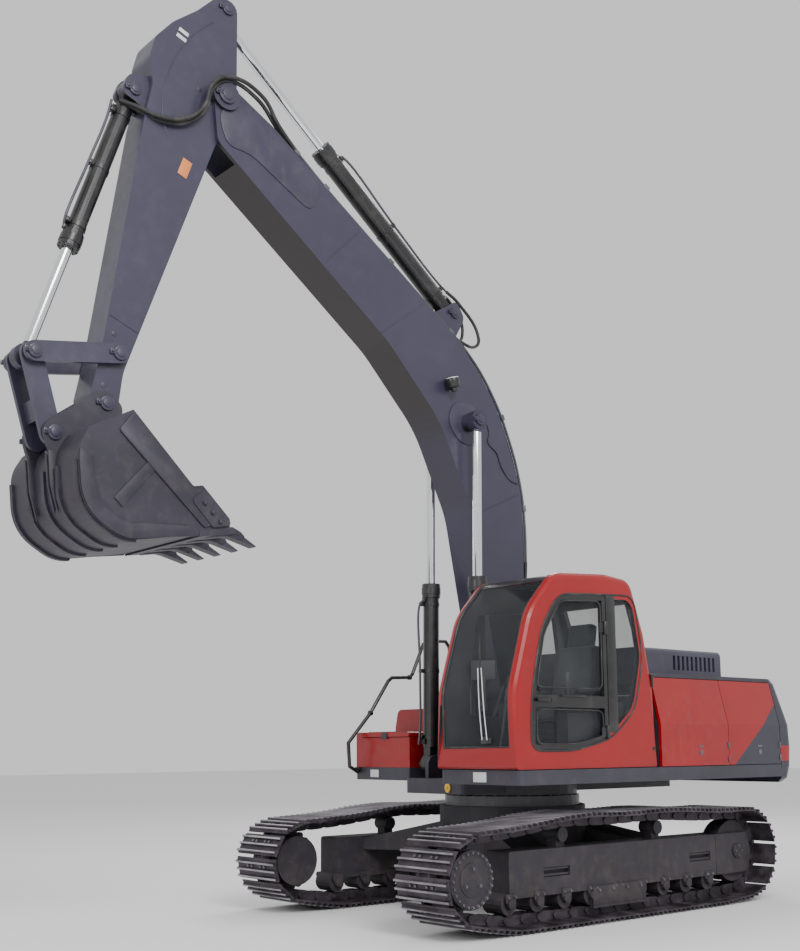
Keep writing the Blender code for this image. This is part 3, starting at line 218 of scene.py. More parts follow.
class Finish:
    """A material whose nodes are added by expressions."""

    def __init__(self, name, roughness=0.5, metallic=0.0, **shader_values):
        self.material = bpy.data.materials.new(name)
        self.material.use_nodes = True
        self.tree = self.material.node_tree
        self.shader = self.tree.nodes["Principled BSDF"]
        self.shader.inputs["Roughness"].default_value = roughness
        self.shader.inputs["Metallic"].default_value = metallic
        for socket, value in shader_values.items():
            label = socket.replace("_", " ").title().replace("Ior", "IOR")
            self.shader.inputs[label].default_value = value

    def node(self, kind, settings, inputs, output=0):
        made = self.tree.nodes.new(kind)
        for key, value in settings.items():
            if key == "stops":
                ramp = made.color_ramp
                ramp.elements[0].position, ramp.elements[0].color = value[0][0], value[0][1]
                ramp.elements[1].position, ramp.elements[1].color = value[-1][0], value[-1][1]
                for position, colour in value[1:-1]:
                    ramp.elements.new(position).color = colour
            else:
                setattr(made, key, value)
        for key, value in inputs.items():
            if isinstance(value, Value):
                self.tree.links.new(value.socket, made.inputs[key])
            else:
                made.inputs[key].default_value = value
        return Value(self, made.outputs[output])

    def place(self):
        return self.node("ShaderNodeTexCoord", {}, {}, "Object")

    def axis(self, name, vector=None):
        return self.node("ShaderNodeSeparateXYZ", {}, {0: vector or self.place()}, name)

    def noise(self, scale, detail=3.0, roughness=0.55, stretch=None):
        vector = self.place()
        if stretch:
            vector = self.node("ShaderNodeMapping", {}, {"Vector": vector, "Scale": stretch})
        return self.node("ShaderNodeTexNoise", {}, {"Vector": vector, "Scale": scale, "Detail": detail,
                                                    "Roughness": roughness})

    def ramp(self, value, low, high):
        """0 below low, 1 above high and smooth between."""
        return self.node("ShaderNodeMapRange", {"interpolation_type": "SMOOTHSTEP"},
                         {"Value": value, "From Min": low, "From Max": high})

    def mix(self, factor, first, second):
        made = self.tree.nodes.new("ShaderNodeMix")
        made.data_type = "RGBA"
        for key, value in ((0, factor), (6, first), (7, second)):
            if isinstance(value, Value):
                self.tree.links.new(value.socket, made.inputs[key])
            else:
                made.inputs[key].default_value = (*value, 1.0) if key and len(value) == 3 else value
        return Value(self, made.outputs[2])

    def bump(self, height, strength, distance=0.002):
        values = {"Height": height, "Strength": strength, "Distance": distance}
        return self.node("ShaderNodeBump", {}, values, "Normal")

    def feed(self, **sockets):
        for socket, value in sockets.items():
            name = socket.replace("_", " ").title()
            if isinstance(value, Value):
                self.tree.links.new(value.socket, self.shader.inputs[name])
            else:
                self.shader.inputs[name].default_value = (*value, 1.0)
        return self


# %% [markdown]
# Machine paint is sprayed over blasted steel. It keeps a faint orange-peel texture, its gloss varies
# where hands and weather reach it, and dust settles low down. One function makes every paint, so the
# colours differ and the behaviour stays the same.


# %% Paint
DUST = (0.20, 0.165, 0.150)
RED = (0.30, 0.0004, 0.0020)
GREY = (0.024, 0.023, 0.040)
BOOM_BLUE = (0.034, 0.030, 0.060)


def painted(name, colour, roughness=0.36, dust_top=0.0, dust=0.5, coat=0.25, mottling=0.10):
    finish = Finish(name, roughness, coat_weight=coat, coat_roughness=0.18)
    cloud = finish.noise(1.7, 4.0)
    grime = finish.noise(9.0, 5.0, 0.65)
    peel = finish.noise(190.0, 2.0)
    dark = tuple(channel * (1 - mottling * 2.2) for channel in colour)
    light = tuple(min(1.0, channel * (1 + mottling)) for channel in colour)
    body = finish.mix(finish.ramp(cloud, 0.35, 0.68), dark, light)
    streaks = finish.ramp(finish.noise(5.0, 3.0, 0.6, (2.2, 2.2, 0.35)), 0.56, 0.78)
    body = finish.mix(streaks * 0.10, body, DUST)
    settled = finish.ramp(grime, 0.45, 0.80) * 0.12
    if dust_top:
        low = 1 - finish.ramp(finish.axis("Z"), dust_top * 0.15, dust_top)
        settled = settled + low * finish.ramp(grime, 0.25, 0.75) * dust
    body = finish.mix(settled, body, DUST)
    rough = roughness + settled * 0.45 + streaks * 0.08 + finish.ramp(grime, 0.3, 0.8) * 0.08
    return finish.feed(base_color=body, roughness=rough, normal=finish.bump(peel + grime * 0.6, 0.05, 0.001))


red_paint = painted("red_paint", RED, 0.30, dust=0.03, mottling=0.05)
boom_paint = painted("boom_paint", BOOM_BLUE, 0.42)
deck_paint = painted("deck_paint", (0.028, 0.026, 0.042), 0.50, dust_top=1.3, dust=0.12)
hood_paint = painted("hood_paint", (0.036, 0.035, 0.062), 0.44)
black_paint = painted("black_paint", (0.010, 0.010, 0.012), 0.34, mottling=0.2)
frame_paint = painted("frame_paint", (0.022, 0.019, 0.026), 0.60, dust_top=0.9, dust=0.14, coat=0.0)
bucket_paint = painted("bucket_paint", (0.026, 0.023, 0.038), 0.48, mottling=0.14, coat=0.0)
work_paint = painted("engine_paint", (0.085, 0.085, 0.090), 0.55)

# %% [markdown]
# The machine also needs bare steel on the tracks, tinted glass, rubber for hoses and gaskets, moulded
# plastic inside the cab, seat cloth, a lamp lens and a few coloured marks.


# %% Other finishes
def track_steel():
    finish = Finish("track_steel", 0.55, 0.65)
    patches = finish.noise(6.0, 5.0, 0.62)
    grit = finish.noise(85.0, 3.0)
    body = finish.mix(finish.ramp(patches, 0.38, 0.66), (0.040, 0.034, 0.042), (0.095, 0.082, 0.096))
    body = finish.mix(finish.ramp(grit, 0.52, 0.72) * 0.20, body, DUST)
    return finish.feed(base_color=body, roughness=0.42 + finish.ramp(patches, 0.3, 0.7) * 0.30,
                       normal=finish.bump(grit + patches, 0.22, 0.002))


def glass():
    finish = Finish("tinted_glass", 0.03, 0.0, ior=1.45)
    film = finish.ramp(finish.noise(2.5, 3.0), 0.40, 0.75)
    return finish.feed(base_color=finish.mix(film * 0.5, (0.040, 0.046, 0.052), (0.085, 0.095, 0.100)),
                       roughness=0.02 + film * 0.04, alpha=0.20 + film * 0.06)


def rubber(name, colour=(0.014, 0.014, 0.016), roughness=0.55):
    finish = Finish(name, roughness)
    grain = finish.noise(120.0, 3.0)
    return finish.feed(base_color=finish.mix(finish.ramp(finish.noise(7.0), 0.45, 0.75) * 0.25, colour, DUST),
                       roughness=roughness + grain * 0.12, normal=finish.bump(grain, 0.12, 0.0008))


def moulded(name, colour, roughness=0.5):
    finish = Finish(name, roughness)
    grain = finish.node("ShaderNodeTexVoronoi", {}, {"Vector": finish.place(), "Scale": 420.0}, "Distance")
    tone = finish.ramp(finish.noise(4.0), 0.3, 0.8)
    return finish.feed(base_color=finish.mix(tone * 0.3, colour, tuple(c * 1.7 for c in colour)),
                       roughness=roughness + tone * 0.08, normal=finish.bump(grain, 0.18, 0.0006))


def seat_cloth():
    finish = Finish("seat_cloth", 0.9, sheen_weight=0.35, sheen_roughness=0.5)
    weave_x, weave_z = [finish.node("ShaderNodeTexWave", {"bands_direction": way},
                                    {"Vector": finish.place(), "Scale": 95.0}) for way in "YZ"]
    tone = finish.ramp(finish.noise(12.0), 0.3, 0.75)
    threads = weave_x * weave_z
    return finish.feed(base_color=finish.mix(threads * 0.5 + tone * 0.2, (0.040, 0.044, 0.055),
                                             (0.105, 0.110, 0.130)),
                       roughness=0.85 + tone * 0.1, normal=finish.bump(threads, 0.35, 0.0010))


steel = track_steel()
cab_glass = glass()
hose_rubber = rubber("hose_rubber")
gasket_rubber = rubber("gasket_rubber", (0.020, 0.020, 0.023), 0.48)
cab_plastic = moulded("cab_plastic", (0.028, 0.029, 0.033))
trim_plastic = moulded("trim_plastic", (0.075, 0.078, 0.088), 0.45)
cloth = seat_cloth()
plate_white = painted("plate_white", (0.62, 0.63, 0.65), 0.35, mottling=0.03)
plate_orange = painted("plate_orange", (0.72, 0.22, 0.05), 0.40, mottling=0.05)
plate_yellow = painted("plate_yellow", (0.75, 0.50, 0.03), 0.40, mottling=0.05)
pipe_paint = painted("pipe_paint", (0.050, 0.050, 0.070), 0.40)
bolt_steel = painted("bolt_steel", (0.10, 0.094, 0.110), 0.45, mottling=0.2)
worn_steel = painted("worn_steel", (0.30, 0.28, 0.31), 0.38, mottling=0.3)
lens_glass = Finish("lamp_lens", 0.12)
flutes = lens_glass.ramp(lens_glass.noise(160.0), 0.4, 0.6)
lens_glass.feed(base_color=lens_glass.mix(flutes, (0.62, 0.64, 0.66), (0.86, 0.87, 0.88)))
print("finishes:", len(bpy.data.materials))

# %% [markdown]
# A pattern can also mark a place. The rear door of this machine is red at its front and grey at its back,
# with a slanted edge between the two, and the counterweight has a red block at its lower corner. Both are
# masks drawn with the coordinates of the machine, so no second mesh is needed. The undersides of the boom
# and the arm get painted shade, a dark brown-black, and the cab a dark lining, both found by the direction
# their faces look in. The rods are chrome as far as their eyes, which are painted.


# %% Two-colour finishes and painted shade
def two_coloured(name, first, second, mask_of, roughness=0.36):
    finish = Finish(name, roughness, coat_weight=0.25, coat_roughness=0.18)
    tone = finish.ramp(finish.noise(1.7, 4.0), 0.35, 0.68)
    grime = finish.noise(9.0, 5.0, 0.65)
    shaded = [finish.mix(tone, tuple(c * 0.88 for c in colour), colour) for colour in (first, second)]
    body = finish.mix(mask_of(finish), shaded[0], shaded[1])
    body = finish.mix(finish.ramp(grime, 0.45, 0.80) * 0.04, body, DUST)
    return finish.feed(base_color=body, roughness=roughness + finish.ramp(grime, 0.4, 0.8) * 0.12,
                       normal=finish.bump(finish.noise(190.0, 2.0) + grime * 0.6, 0.05, 0.001))


SPLIT_X = swing_x - 1.86      # where the colours meet at SPLIT_Z
SPLIT_Z = 1.45
SPLIT_SLOPE = 1.32            # metres of X for each metre of Z
EYE_REACH = 0.115             # how far from its pin a rod is painted


def behind_split(finish):
    x, z = finish.axis("X"), finish.axis("Z")
    edge = SPLIT_X - (z - SPLIT_Z) * SPLIT_SLOPE
    return finish.ramp(edge - x, -0.002, 0.002)


# Painted shade: marks the faces that look down, so that the undersides of the boom and the arm are coloured
# dark as if shadowed.
def painted_shade_below(finish):
    direction = finish.node("ShaderNodeTexCoord", {}, {}, "Normal")
    return 1 - finish.ramp(finish.axis("Z", direction), -0.75, -0.25)


def red_block(finish):
    z = finish.axis("Z")
    x = finish.axis("X")
    return (z > 1.27) * (z < 1.415) * (x < swing_x - 2.345) * (finish.axis("Y") > 0.60)


def faces_inside(finish):
    """Marks the faces that look at the cab's middle: its lining, and the reveals of its openings."""
    direction = finish.node("ShaderNodeTexCoord", {}, {}, "Normal")
    towards = None
    for name, centre in (("X", swing_x + 0.40), ("Y", 0.872), ("Z", 2.05)):
        step = finish.axis(name, direction) * (centre - finish.axis(name))
        towards = step if towards is None else towards + step
    return finish.ramp(towards, 0.0, 0.02)


def near_pins(*centres):
    """Marks the eyes of the rods: what lies within a hand's breadth of these pins, seen from the side."""
    def mask(finish):
        found = None
        for centre in centres:
            x, z = finish.axis("X") - centre.x, finish.axis("Z") - centre.z
            inside = (x * x + z * z) < EYE_REACH ** 2
            found = inside if found is None else found + inside
        return found
    return mask


split_paint = two_coloured("split_paint", RED, GREY, behind_split)
counterweight_paint = two_coloured("counterweight_paint", GREY, RED, red_block, 0.42)
cab_paint = two_coloured("cab_paint", RED, (0.045, 0.045, 0.052), faces_inside, 0.30)
# The near-black brown under the boom and the arm is painted shade, not a second paint colour.
boom_painted_shade = two_coloured("boom_painted_shade", BOOM_BLUE, (0.010, 0.005, 0.007), painted_shade_below, 0.40)
rod_tips = near_pins(boom_rod_pin, arm_rod_pin, knuckle)
rod_finish = Finish("rod_with_eye", 0.12)
chrome_or_paint = rod_tips(rod_finish)
rod_finish.feed(base_color=rod_finish.mix(chrome_or_paint, (0.80, 0.81, 0.83), (0.030, 0.027, 0.050)),
                metallic=1 - chrome_or_paint, roughness=0.10 + chrome_or_paint * 0.32)

finish_of = {"boom": boom_painted_shade, "arm": boom_painted_shade, "bucket": bucket_paint, "h_link": boom_paint,
             "turntable_frame": deck_paint, "body_housing": deck_paint, "counterweight": counterweight_paint,
             "engine_hood": hood_paint, "engine_block": work_paint, "left_rear_side_door": split_paint,
             "right_side_door": split_paint, "handrail": black_paint, "cab_door": black_paint,
             "cab_shell": cab_paint, "control_consoles": cab_plastic, "carbody": frame_paint,
             "swing_bearing": bolt_steel}
for name, node in frame["nodes"].items():
    if name in finish_of:
        finish = finish_of[name]
    elif "window" in name or name in ("windshield", "cab_door_glass"):
        finish = cab_glass
    elif "cylinder_rod" in name:
        finish = rod_finish
    elif "cylinder_barrel" in name:
        finish = black_paint
    elif name.startswith(("track_frame", "sprocket", "idler")):
        finish = frame_paint
    elif name.startswith("rocker"):
        finish = boom_paint
    else:
        finish = red_paint
    node.data.materials.clear()
    node.data.materials.append(finish.material)
print("nodes with a finish:", len(frame["nodes"]))

# %% [markdown]
# Every fitting is drawn in a bmesh with Blender's own operators. These few helpers add one shape each,
# placed by a matrix: a bevelled block, a turned drum, a plate cut to an outline, and a hexagon bolt.
# `piece` then closes the job: it turns the faces outwards and hands the object to its body.


# %% Shapes
def placed(mesh, verts, matrix):
    bmesh.ops.transform(mesh, matrix=matrix, verts=verts)
    return verts


def chamfer(mesh, verts, width, segments=2, sharper_than=0.5):
    edges = {edge for vert in verts for edge in vert.link_edges
             if len(edge.link_faces) == 2 and edge.calc_face_angle(0) > sharper_than}
    if width and edges:
        bmesh.ops.bevel(mesh, geom=list(edges), offset=width, segments=segments, profile=0.5, affect="EDGES",
                        material=-1)


def block(mesh, size, matrix, bevel=0.004):
    verts = bmesh.ops.create_cube(mesh, size=1)["verts"]
    bmesh.ops.scale(mesh, vec=size, verts=verts)
    chamfer(mesh, placed(mesh, verts, matrix), bevel)


def drum(mesh, radius, depth, matrix, sides=24, bevel=0.003, top=None):
    """A round piece along the matrix's Z axis."""
    verts = bmesh.ops.create_cone(mesh, cap_ends=True, segments=sides, radius1=radius,
                                  radius2=radius if top is None else top, depth=depth)["verts"]
    chamfer(mesh, placed(mesh, verts, matrix), bevel, 2, 0.9)


def corner_verts(mesh, corners):
    return [bmesh.ops.create_vert(mesh, co=corner)["vert"][0] for corner in corners]


def plate(mesh, outline, thickness, matrix, bevel=0.0, segments=2):
    """The outline is drawn in X and Z, and the plate grows from there along Y."""
    verts = corner_verts(mesh, [(x, 0, z) for x, z in outline])
    grown = bmesh.ops.extrude_face_region(mesh, geom=[mesh.faces.new(verts)])["geom"]
    top = [item for item in grown if isinstance(item, bmesh.types.BMVert)]
    bmesh.ops.translate(mesh, vec=(0, thickness, 0), verts=top)
    chamfer(mesh, placed(mesh, verts + top, matrix), bevel, segments, 0.6)


def collar(mesh, outer, inner, depth, matrix, sides=36):
    """A ring about the matrix's Z axis: a rectangle spun once around."""
    half = depth / 2
    verts = corner_verts(mesh, ((inner, 0, -half), (outer, 0, -half), (outer, 0, half), (inner, 0, half)))
    edges = [mesh.edges.new((verts[index - 1], verts[index])) for index in range(4)]
    before = set(mesh.verts) - set(verts)
    bmesh.ops.spin(mesh, geom=verts + edges, cent=(0, 0, 0), axis=(0, 0, 1),
                   angle=math.tau, steps=sides, use_merge=True)
    placed(mesh, [vert for vert in mesh.verts if vert not in before], matrix)


TURN_TO_Y = Matrix.Rotation(math.pi / 2, 4, "X")      # a drum's axis along Y
TURN_TO_X = Matrix.Rotation(math.pi / 2, 4, "Y")


def bolt(mesh, matrix, size=0.022, height=0.014):
    """A hexagon head on a washer, standing up along the matrix's Z axis."""
    drum(mesh, size * 0.72, 0.004, matrix @ level(z=0.002), 12, 0)
    drum(mesh, size * 0.55, height, matrix @ level(z=0.004 + height / 2), 6, 0.0012)


def bolt_circle(mesh, matrix, radius, count, size=0.022, start=0.0):
    for index in range(count):
        angle = start + math.tau * index / count
        bolt(mesh, matrix @ level(radius * math.cos(angle), radius * math.sin(angle)), size)


SHARP_FROM = math.radians(32)


def piece(name, mesh, finish, body):
    bmesh.ops.recalc_face_normals(mesh, faces=mesh.faces)
    data = bpy.data.meshes.new(name)
    mesh.to_mesh(data)
    mesh.free()
    made = bpy.data.objects.new(name, data)
    bpy.context.scene.collection.objects.link(made)
    data.materials.append(finish.material)
    data.shade_smooth()
    data.set_sharp_from_angle(angle=SHARP_FROM)
    if body:
        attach(made, body)
    return made


def one_block(name, size, matrix, bevel, finish, body):
    """A piece that is a single bevelled block."""
    mesh = bmesh.new()
    block(mesh, size, matrix, bevel)
    return piece(name, mesh, finish, body)


ARC_SHARE = 0.45              # the most of a side that one arc may take


def rounded_outline(corners, radius, steps=4):
    """A closed outline with each corner turned into an arc."""
    outline = []
    for index, corner in enumerate(corners):
        here = Vector(corner)
        before = Vector(corners[index - 1]) - here
        after = Vector(corners[(index + 1) % len(corners)]) - here
        reach = min(radius, before.length * ARC_SHARE, after.length * ARC_SHARE)
        first, last = here + before.normalized() * reach, here + after.normalized() * reach
        for step in range(steps + 1):
            share = step / steps
            outline.append(tuple((first.lerp(here, share)).lerp(here.lerp(last, share), share)))
    return outline


# %% [markdown]
# Hoses and pipes are Bezier curves with a round bevel. The curve passes through a few points, Blender
# works out the handles, and the result becomes a mesh.


# %% Hoses
def course(member, *points):
    """Places along a member: how far along it, how far above it and, if given, how far to the left."""
    return [member.at(*point) for point in points]


def pour(part, whole):
    """Adds one bmesh to another and frees it."""
    data = bpy.data.meshes.new("part")
    part.to_mesh(data)
    part.free()
    whole.from_mesh(data)
    bpy.data.meshes.remove(data)


def tube(points, radius, smooth=10):
    curve = bpy.data.curves.new("path", "CURVE")
    curve.dimensions = "3D"
    curve.bevel_depth = radius
    curve.bevel_resolution = 4
    curve.resolution_u = smooth
    curve.use_fill_caps = True
    spline = curve.splines.new("BEZIER")
    spline.bezier_points.add(len(points) - 1)
    for knot, point in zip(spline.bezier_points, points):
        knot.co = point
        knot.handle_left_type = knot.handle_right_type = "AUTO"
    holder = bpy.data.objects.new("path", curve)
    bpy.context.scene.collection.objects.link(holder)
    data = bpy.data.meshes.new_from_object(holder)
    bpy.data.objects.remove(holder)
    mesh = bmesh.new()
    mesh.from_mesh(data)
    bpy.data.meshes.remove(data)
    bmesh.ops.remove_doubles(mesh, verts=mesh.verts, dist=radius * 0.02)
    return mesh


def tubes(name, paths, radius, finish, body, smooth=10):
    whole = bmesh.new()
    for points in paths:
        pour(tube(points, radius, smooth), whole)
    reach = [sum((there - here).length for here, there in zip(points, points[1:])) for points in paths]
    print(name, "in metres:", " ".join(f"{length:.2f}" for length in reach))
    return piece(name, whole, finish, body)


# %% [markdown]
# A track is a chain. Its pins run on one closed line, each shoe is bolted over the chord between two
# pins, and that is why the shoes fan out around the sprocket and the idler. The line below is the one
# the frame's loops were built on, moved in to the depth of the pins.

# %% Track line
TRACK_Y = (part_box("track_left")[0].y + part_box("track_left")[1].y) / 2
SHOE_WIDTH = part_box("track_left")[1].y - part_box("track_left")[0].y
SHOE_COUNT = 47
PIN_DEPTH = 0.085
SPROCKET = (swing_x + 1.758, 0.436, 0.369)     # x, z and radius over the grousers
IDLER = (swing_x - 1.724, 0.447, 0.417)
CARRIERS = (swing_x + 0.62, swing_x - 0.62)
CARRIER_TOP = 0.905
SAG = 0.022


def wheel_arc(wheel, start, end, steps=16):
    x, z, radius = wheel
    angles = [math.radians(start + (end - start) * step / steps) for step in range(steps + 1)]
    reach = radius - PIN_DEPTH
    return [Vector((x + reach * math.cos(a), z + reach * math.sin(a))) for a in angles]


stops = [Vector((SPROCKET[0], SPROCKET[1] + SPROCKET[2])), Vector((CARRIERS[0], CARRIER_TOP)),
         Vector((CARRIERS[1], CARRIER_TOP)), Vector((IDLER[0], IDLER[1] + IDLER[2]))]
line = []
for here, there in zip(stops, stops[1:]):
    for step in range(1, 7):
        share = step / 7
        line.append(here.lerp(there, share) - Vector((0, 4 * SAG * share * (1 - share) + PIN_DEPTH)))
line += wheel_arc(IDLER, 90, 262)
line += [Vector((swing_x - 1.34, PIN_DEPTH)), Vector((swing_x + 1.34, PIN_DEPTH))]
line += wheel_arc(SPROCKET, -84, 78)
lengths = [0.0]
for here, there in zip(line, line[1:] + line[:1]):
    lengths.append(lengths[-1] + (there - here).length)


def on_line(share):
    distance = (share % 1.0) * lengths[-1]
    index = max(i for i, length in enumerate(lengths[:-1]) if length <= distance)
    here, there = line[index], line[(index + 1) % len(line)]
    return here + (there - here).normalized() * (distance - lengths[index])


pitch = lengths[-1] / SHOE_COUNT
print(f"track line {lengths[-1]:.3f} m, pitch {pitch * 1000:.1f} mm")

# %% [markdown]
# One shoe is a rolled section with three bars, cut to length, so its side view is drawn once and
# extruded across the track. The two ends are curled down so that neighbours overlap like roof tiles.
# Four bolts hold it to a pair of forged links.

# %% Track shoes
TIP = -PIN_DEPTH + 0.004           # heights are measured inwards from the pin line
PLATE_TOP = TIP + 0.024
PLATE_UNDER = PLATE_TOP + 0.013
half_pitch = pitch / 2
BAR_PLACES = (-0.36, -0.02, 0.32)      # of the three bars, as shares of the pitch
bars = []
for centre in BAR_PLACES:
    middle = centre * pitch
    bars += [(middle - 0.013, PLATE_TOP), (middle - 0.006, TIP),
             (middle + 0.006, TIP), (middle + 0.013, PLATE_TOP)]
shoe_outline = ([(-half_pitch + 0.002, PLATE_TOP + 0.006)] + bars
                + [(half_pitch - 0.014, PLATE_TOP), (half_pitch + 0.004, PLATE_TOP + 0.010),
                   (half_pitch - 0.004, PLATE_UNDER + 0.007), (half_pitch - 0.022, PLATE_UNDER),
                   (-half_pitch + 0.022, PLATE_UNDER), (-half_pitch + 0.004, PLATE_UNDER + 0.004)])
link_outline = rounded_outline([(-0.56 * pitch, 0.020), (-0.56 * pitch, -0.030), (-0.25 * pitch, PLATE_UNDER),
                                (0.28 * pitch, PLATE_UNDER), (0.56 * pitch, -0.030), (0.56 * pitch, 0.020),
                                (0.35 * pitch, 0.036), (-0.35 * pitch, 0.036)], 0.02, 2)


def build_track(side, label):
    shoes, links, bolts, tips = bmesh.new(), bmesh.new(), bmesh.new(), bmesh.new()
    for index in range(SHOE_COUNT):
        here, there = on_line(index / SHOE_COUNT), on_line((index + 1) / SHOE_COUNT)
        along = (there - here).normalized()
        inward = Vector((-along.y, along.x))
        middle = (here + there) / 2
        place = Matrix(((along.x, 0, inward.x, middle.x), (0, 1, 0, side * TRACK_Y),
                        (along.y, 0, inward.y, middle.y), (0, 0, 0, 1)))
        plate(shoes, shoe_outline, SHOE_WIDTH - 0.004, place @ level(y=-SHOE_WIDTH / 2 + 0.002))
        for centre in BAR_PLACES:
            block(tips, (0.015, SHOE_WIDTH - 0.008, 0.006),
                  place @ level(centre * pitch, 0, TIP + 0.001), 0)
        for y in (-0.076, 0.044):
            plate(links, link_outline, 0.032, place @ level(y=y))
        drum(links, 0.024, 0.176, place @ level(-half_pitch) @ TURN_TO_Y, 12, 0)
        for y in (-0.125, -0.065, 0.065, 0.125):
            head = place @ level(0.15 * pitch, y, PLATE_TOP - 0.006)
            drum(bolts, 0.013, 0.014, head, 6, 0)
    for mesh, name, finish in ((shoes, "track_shoes", steel), (links, "track_chain", steel),
                               (bolts, "track_bolts", bolt_steel), (tips, "track_worn_tips", worn_steel)):
        made = piece(f"{name}_{label}", mesh, finish, "undercarriage")
        if name == "track_shoes":
            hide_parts(f"track_{label}")


for side, label in ((1, "left"), (-1, "right")):
    build_track(side, label)
print("shoes on each side:", SHOE_COUNT)

# %% [markdown]
# The side frame carries nine bottom rollers on shafts whose collars are bolted to its sides, a final
# drive with rings of bolts, a bolted boss on the idler, a guard beside the middle rollers, and narrow
# ribs to step on.

# %% Running gear
FRAME_HALF = 0.125
ROLLER_X = [swing_x - 1.28 + 2.56 * index / 8 for index in range(9)]
ROLLER_Z = 0.2105


def running_gear(side, label):
    castings, bolts = bmesh.new(), bmesh.new()
    outward = Matrix.Rotation(-side * math.pi / 2, 4, "X")        # Z of the shape looks away from the machine
    face = side * (TRACK_Y + FRAME_HALF)
    for x in ROLLER_X:
        for way in (-1, 1):
            y = side * TRACK_Y + way * 0.122
            block(castings, (0.115, 0.030, 0.075), level(x, y, ROLLER_Z + 0.045), 0.010)
            drum(castings, 0.040, 0.050, level(x, y, ROLLER_Z) @ TURN_TO_Y, 20, 0.004)
        for shift in (-0.038, 0.038):
            bolt(bolts, level(x + shift, side * (TRACK_Y + 0.137), ROLLER_Z + 0.055) @ outward, 0.020, 0.010)
    drive_x, drive_z = SPROCKET[:2]
    cover = level(drive_x, side * (TRACK_Y + 0.187), drive_z) @ outward
    drum(castings, 0.222, 0.026, cover, 40, 0.008)
    drum(castings, 0.128, 0.040, cover, 40, 0.008)
    bolt_circle(bolts, cover @ level(z=0.012), 0.200, 24, 0.020)
    bolt_circle(bolts, cover @ level(z=0.019), 0.085, 3, 0.024, 0.5)
    ring = level(drive_x, side * (TRACK_Y + 0.050), drive_z) @ outward
    drum(castings, 0.240, 0.022, ring, 40, 0.004)
    bolt_circle(bolts, ring @ level(z=0.011), 0.229, 20, 0.016)
    idler_x, idler_z = IDLER[:2]
    boss = level(idler_x, side * (TRACK_Y + 0.130), idler_z) @ outward
    drum(castings, 0.066, 0.024, boss, 24, 0.006)
    bolt_circle(bolts, boss @ level(z=0.012), 0.045, 4, 0.018)
    for x in (swing_x + 0.745, swing_x - 1.160):
        block(castings, (0.300, 0.010, 0.018), level(x, face - side * 0.012, 0.452), 0.003)
        block(castings, (0.300, 0.010, 0.018), level(x, face - side * 0.012, 0.405), 0.003)
    block(castings, (0.012, 0.006, 0.340), level(swing_x - 1.405, face + side * 0.001, 0.430), 0.002)
    block(castings, (0.680, 0.020, 0.150), level(swing_x, side * (TRACK_Y + 0.142), 0.195), 0.008)
    for x in (-0.27, -0.09, 0.09, 0.27):
        bolt(bolts, level(swing_x + x, side * (TRACK_Y + 0.152), 0.245) @ outward, 0.022, 0.010)
    piece(f"running_gear_{label}", castings, frame_paint, "undercarriage")
    piece(f"running_bolts_{label}", bolts, bolt_steel, "undercarriage")


def sprocket_teeth(side, label):
    mesh = bmesh.new()
    x, z = SPROCKET[:2]
    outline = []
    teeth = 21
    for index in range(teeth * 4):
        radius = (0.272, 0.272, 0.246, 0.246)[index % 4]
        angle = math.tau * (index + (0.0, 0.2, 0.1, -0.1)[index % 4]) / (teeth * 4)
        outline.append((radius * math.cos(angle), radius * math.sin(angle)))
    plate(mesh, outline, 0.050, level(x, side * TRACK_Y - 0.025, z), 0)
    piece(f"sprocket_teeth_{label}", mesh, steel, "undercarriage")


for side, label in ((1, "left"), (-1, "right")):
    running_gear(side, label)
    sprocket_teeth(side, label)

ring_bolts = bmesh.new()
bolt_circle(ring_bolts, level(swing_x, 0, 0.989), 0.585, 36, 0.024)
piece("ring_bolts", ring_bolts, bolt_steel, "undercarriage")

# %% [markdown]
# The cab's glass is held by rubber gaskets. Each gasket is a tube of rubber that follows the edge of its
# pane, so its path comes from the side view of the cab: up the upright front, over the bend and back
# along the roof. The roof end of the windshield is a dark tinted strip.

# %% Cab lines
cab_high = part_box("cab_shell")[1]
glass_low, glass_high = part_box("windshield")
GLASS_Y = (glass_low.y + glass_high.y) / 2
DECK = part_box("turntable_frame")[0].z + 0.237      # height of the deck's top
CAB_LEFT = cab_high.y


def spot(x, y, z):
    """A place measured from the swing axis on the ground."""
    return Vector((swing_x + x, y, z))


def windshield_edge():
    """Side view of the windshield's outer face: the vertices that lie further from the cab's middle."""
    middle = Vector((swing_x + 0.40, DECK + 0.60))
    side = [Vector((vert.co.x, vert.co.z)) - middle for vert in frame["nodes"]["windshield"].data.vertices
            if abs(vert.co.y - glass_high.y) < 1e-3]
    outer = {}
    for point in side:
        if not any((point - other).length < 0.016 and other.length > point.length + 0.003 for other in side):
            outer[round(math.atan2(point.y, point.x), 3)] = point + middle
    return [outer[angle] for angle in sorted(outer)]


edge = windshield_edge()
print("windshield edge points:", len(edge))
gasket_paths = []
for y in (glass_low.y + 0.004, glass_high.y - 0.004):
    gasket_paths.append([Vector((point.x + 0.002, y, point.y + 0.002)) for point in edge])
for end, shift in ((edge[0], 0.002), (edge[-1], 0.0)):
    gasket_paths.append([Vector((end.x + shift, y, end.y + 0.002))
                         for y in (glass_low.y, GLASS_Y, glass_high.y)])
tubes("windshield_gasket", gasket_paths, 0.010, gasket_rubber, "upper", smooth=3)

tint = bmesh.new()
strip = [point for point in edge if point.y > glass_high.z - 0.16]
rows = []
for y in (glass_low.y + 0.012, glass_high.y - 0.012):
    rows.append(corner_verts(tint, [(point.x + 0.0015, y, point.y + 0.0015) for point in strip]))
loops = [tint.edges.new((a, b)) for row in rows for a, b in zip(row, row[1:])]
bmesh.ops.bridge_loops(tint, edges=loops)
bmesh.ops.solidify(tint, geom=list(tint.faces), thickness=0.001)
piece("roof_tint_strip", tint, black_paint, "upper")

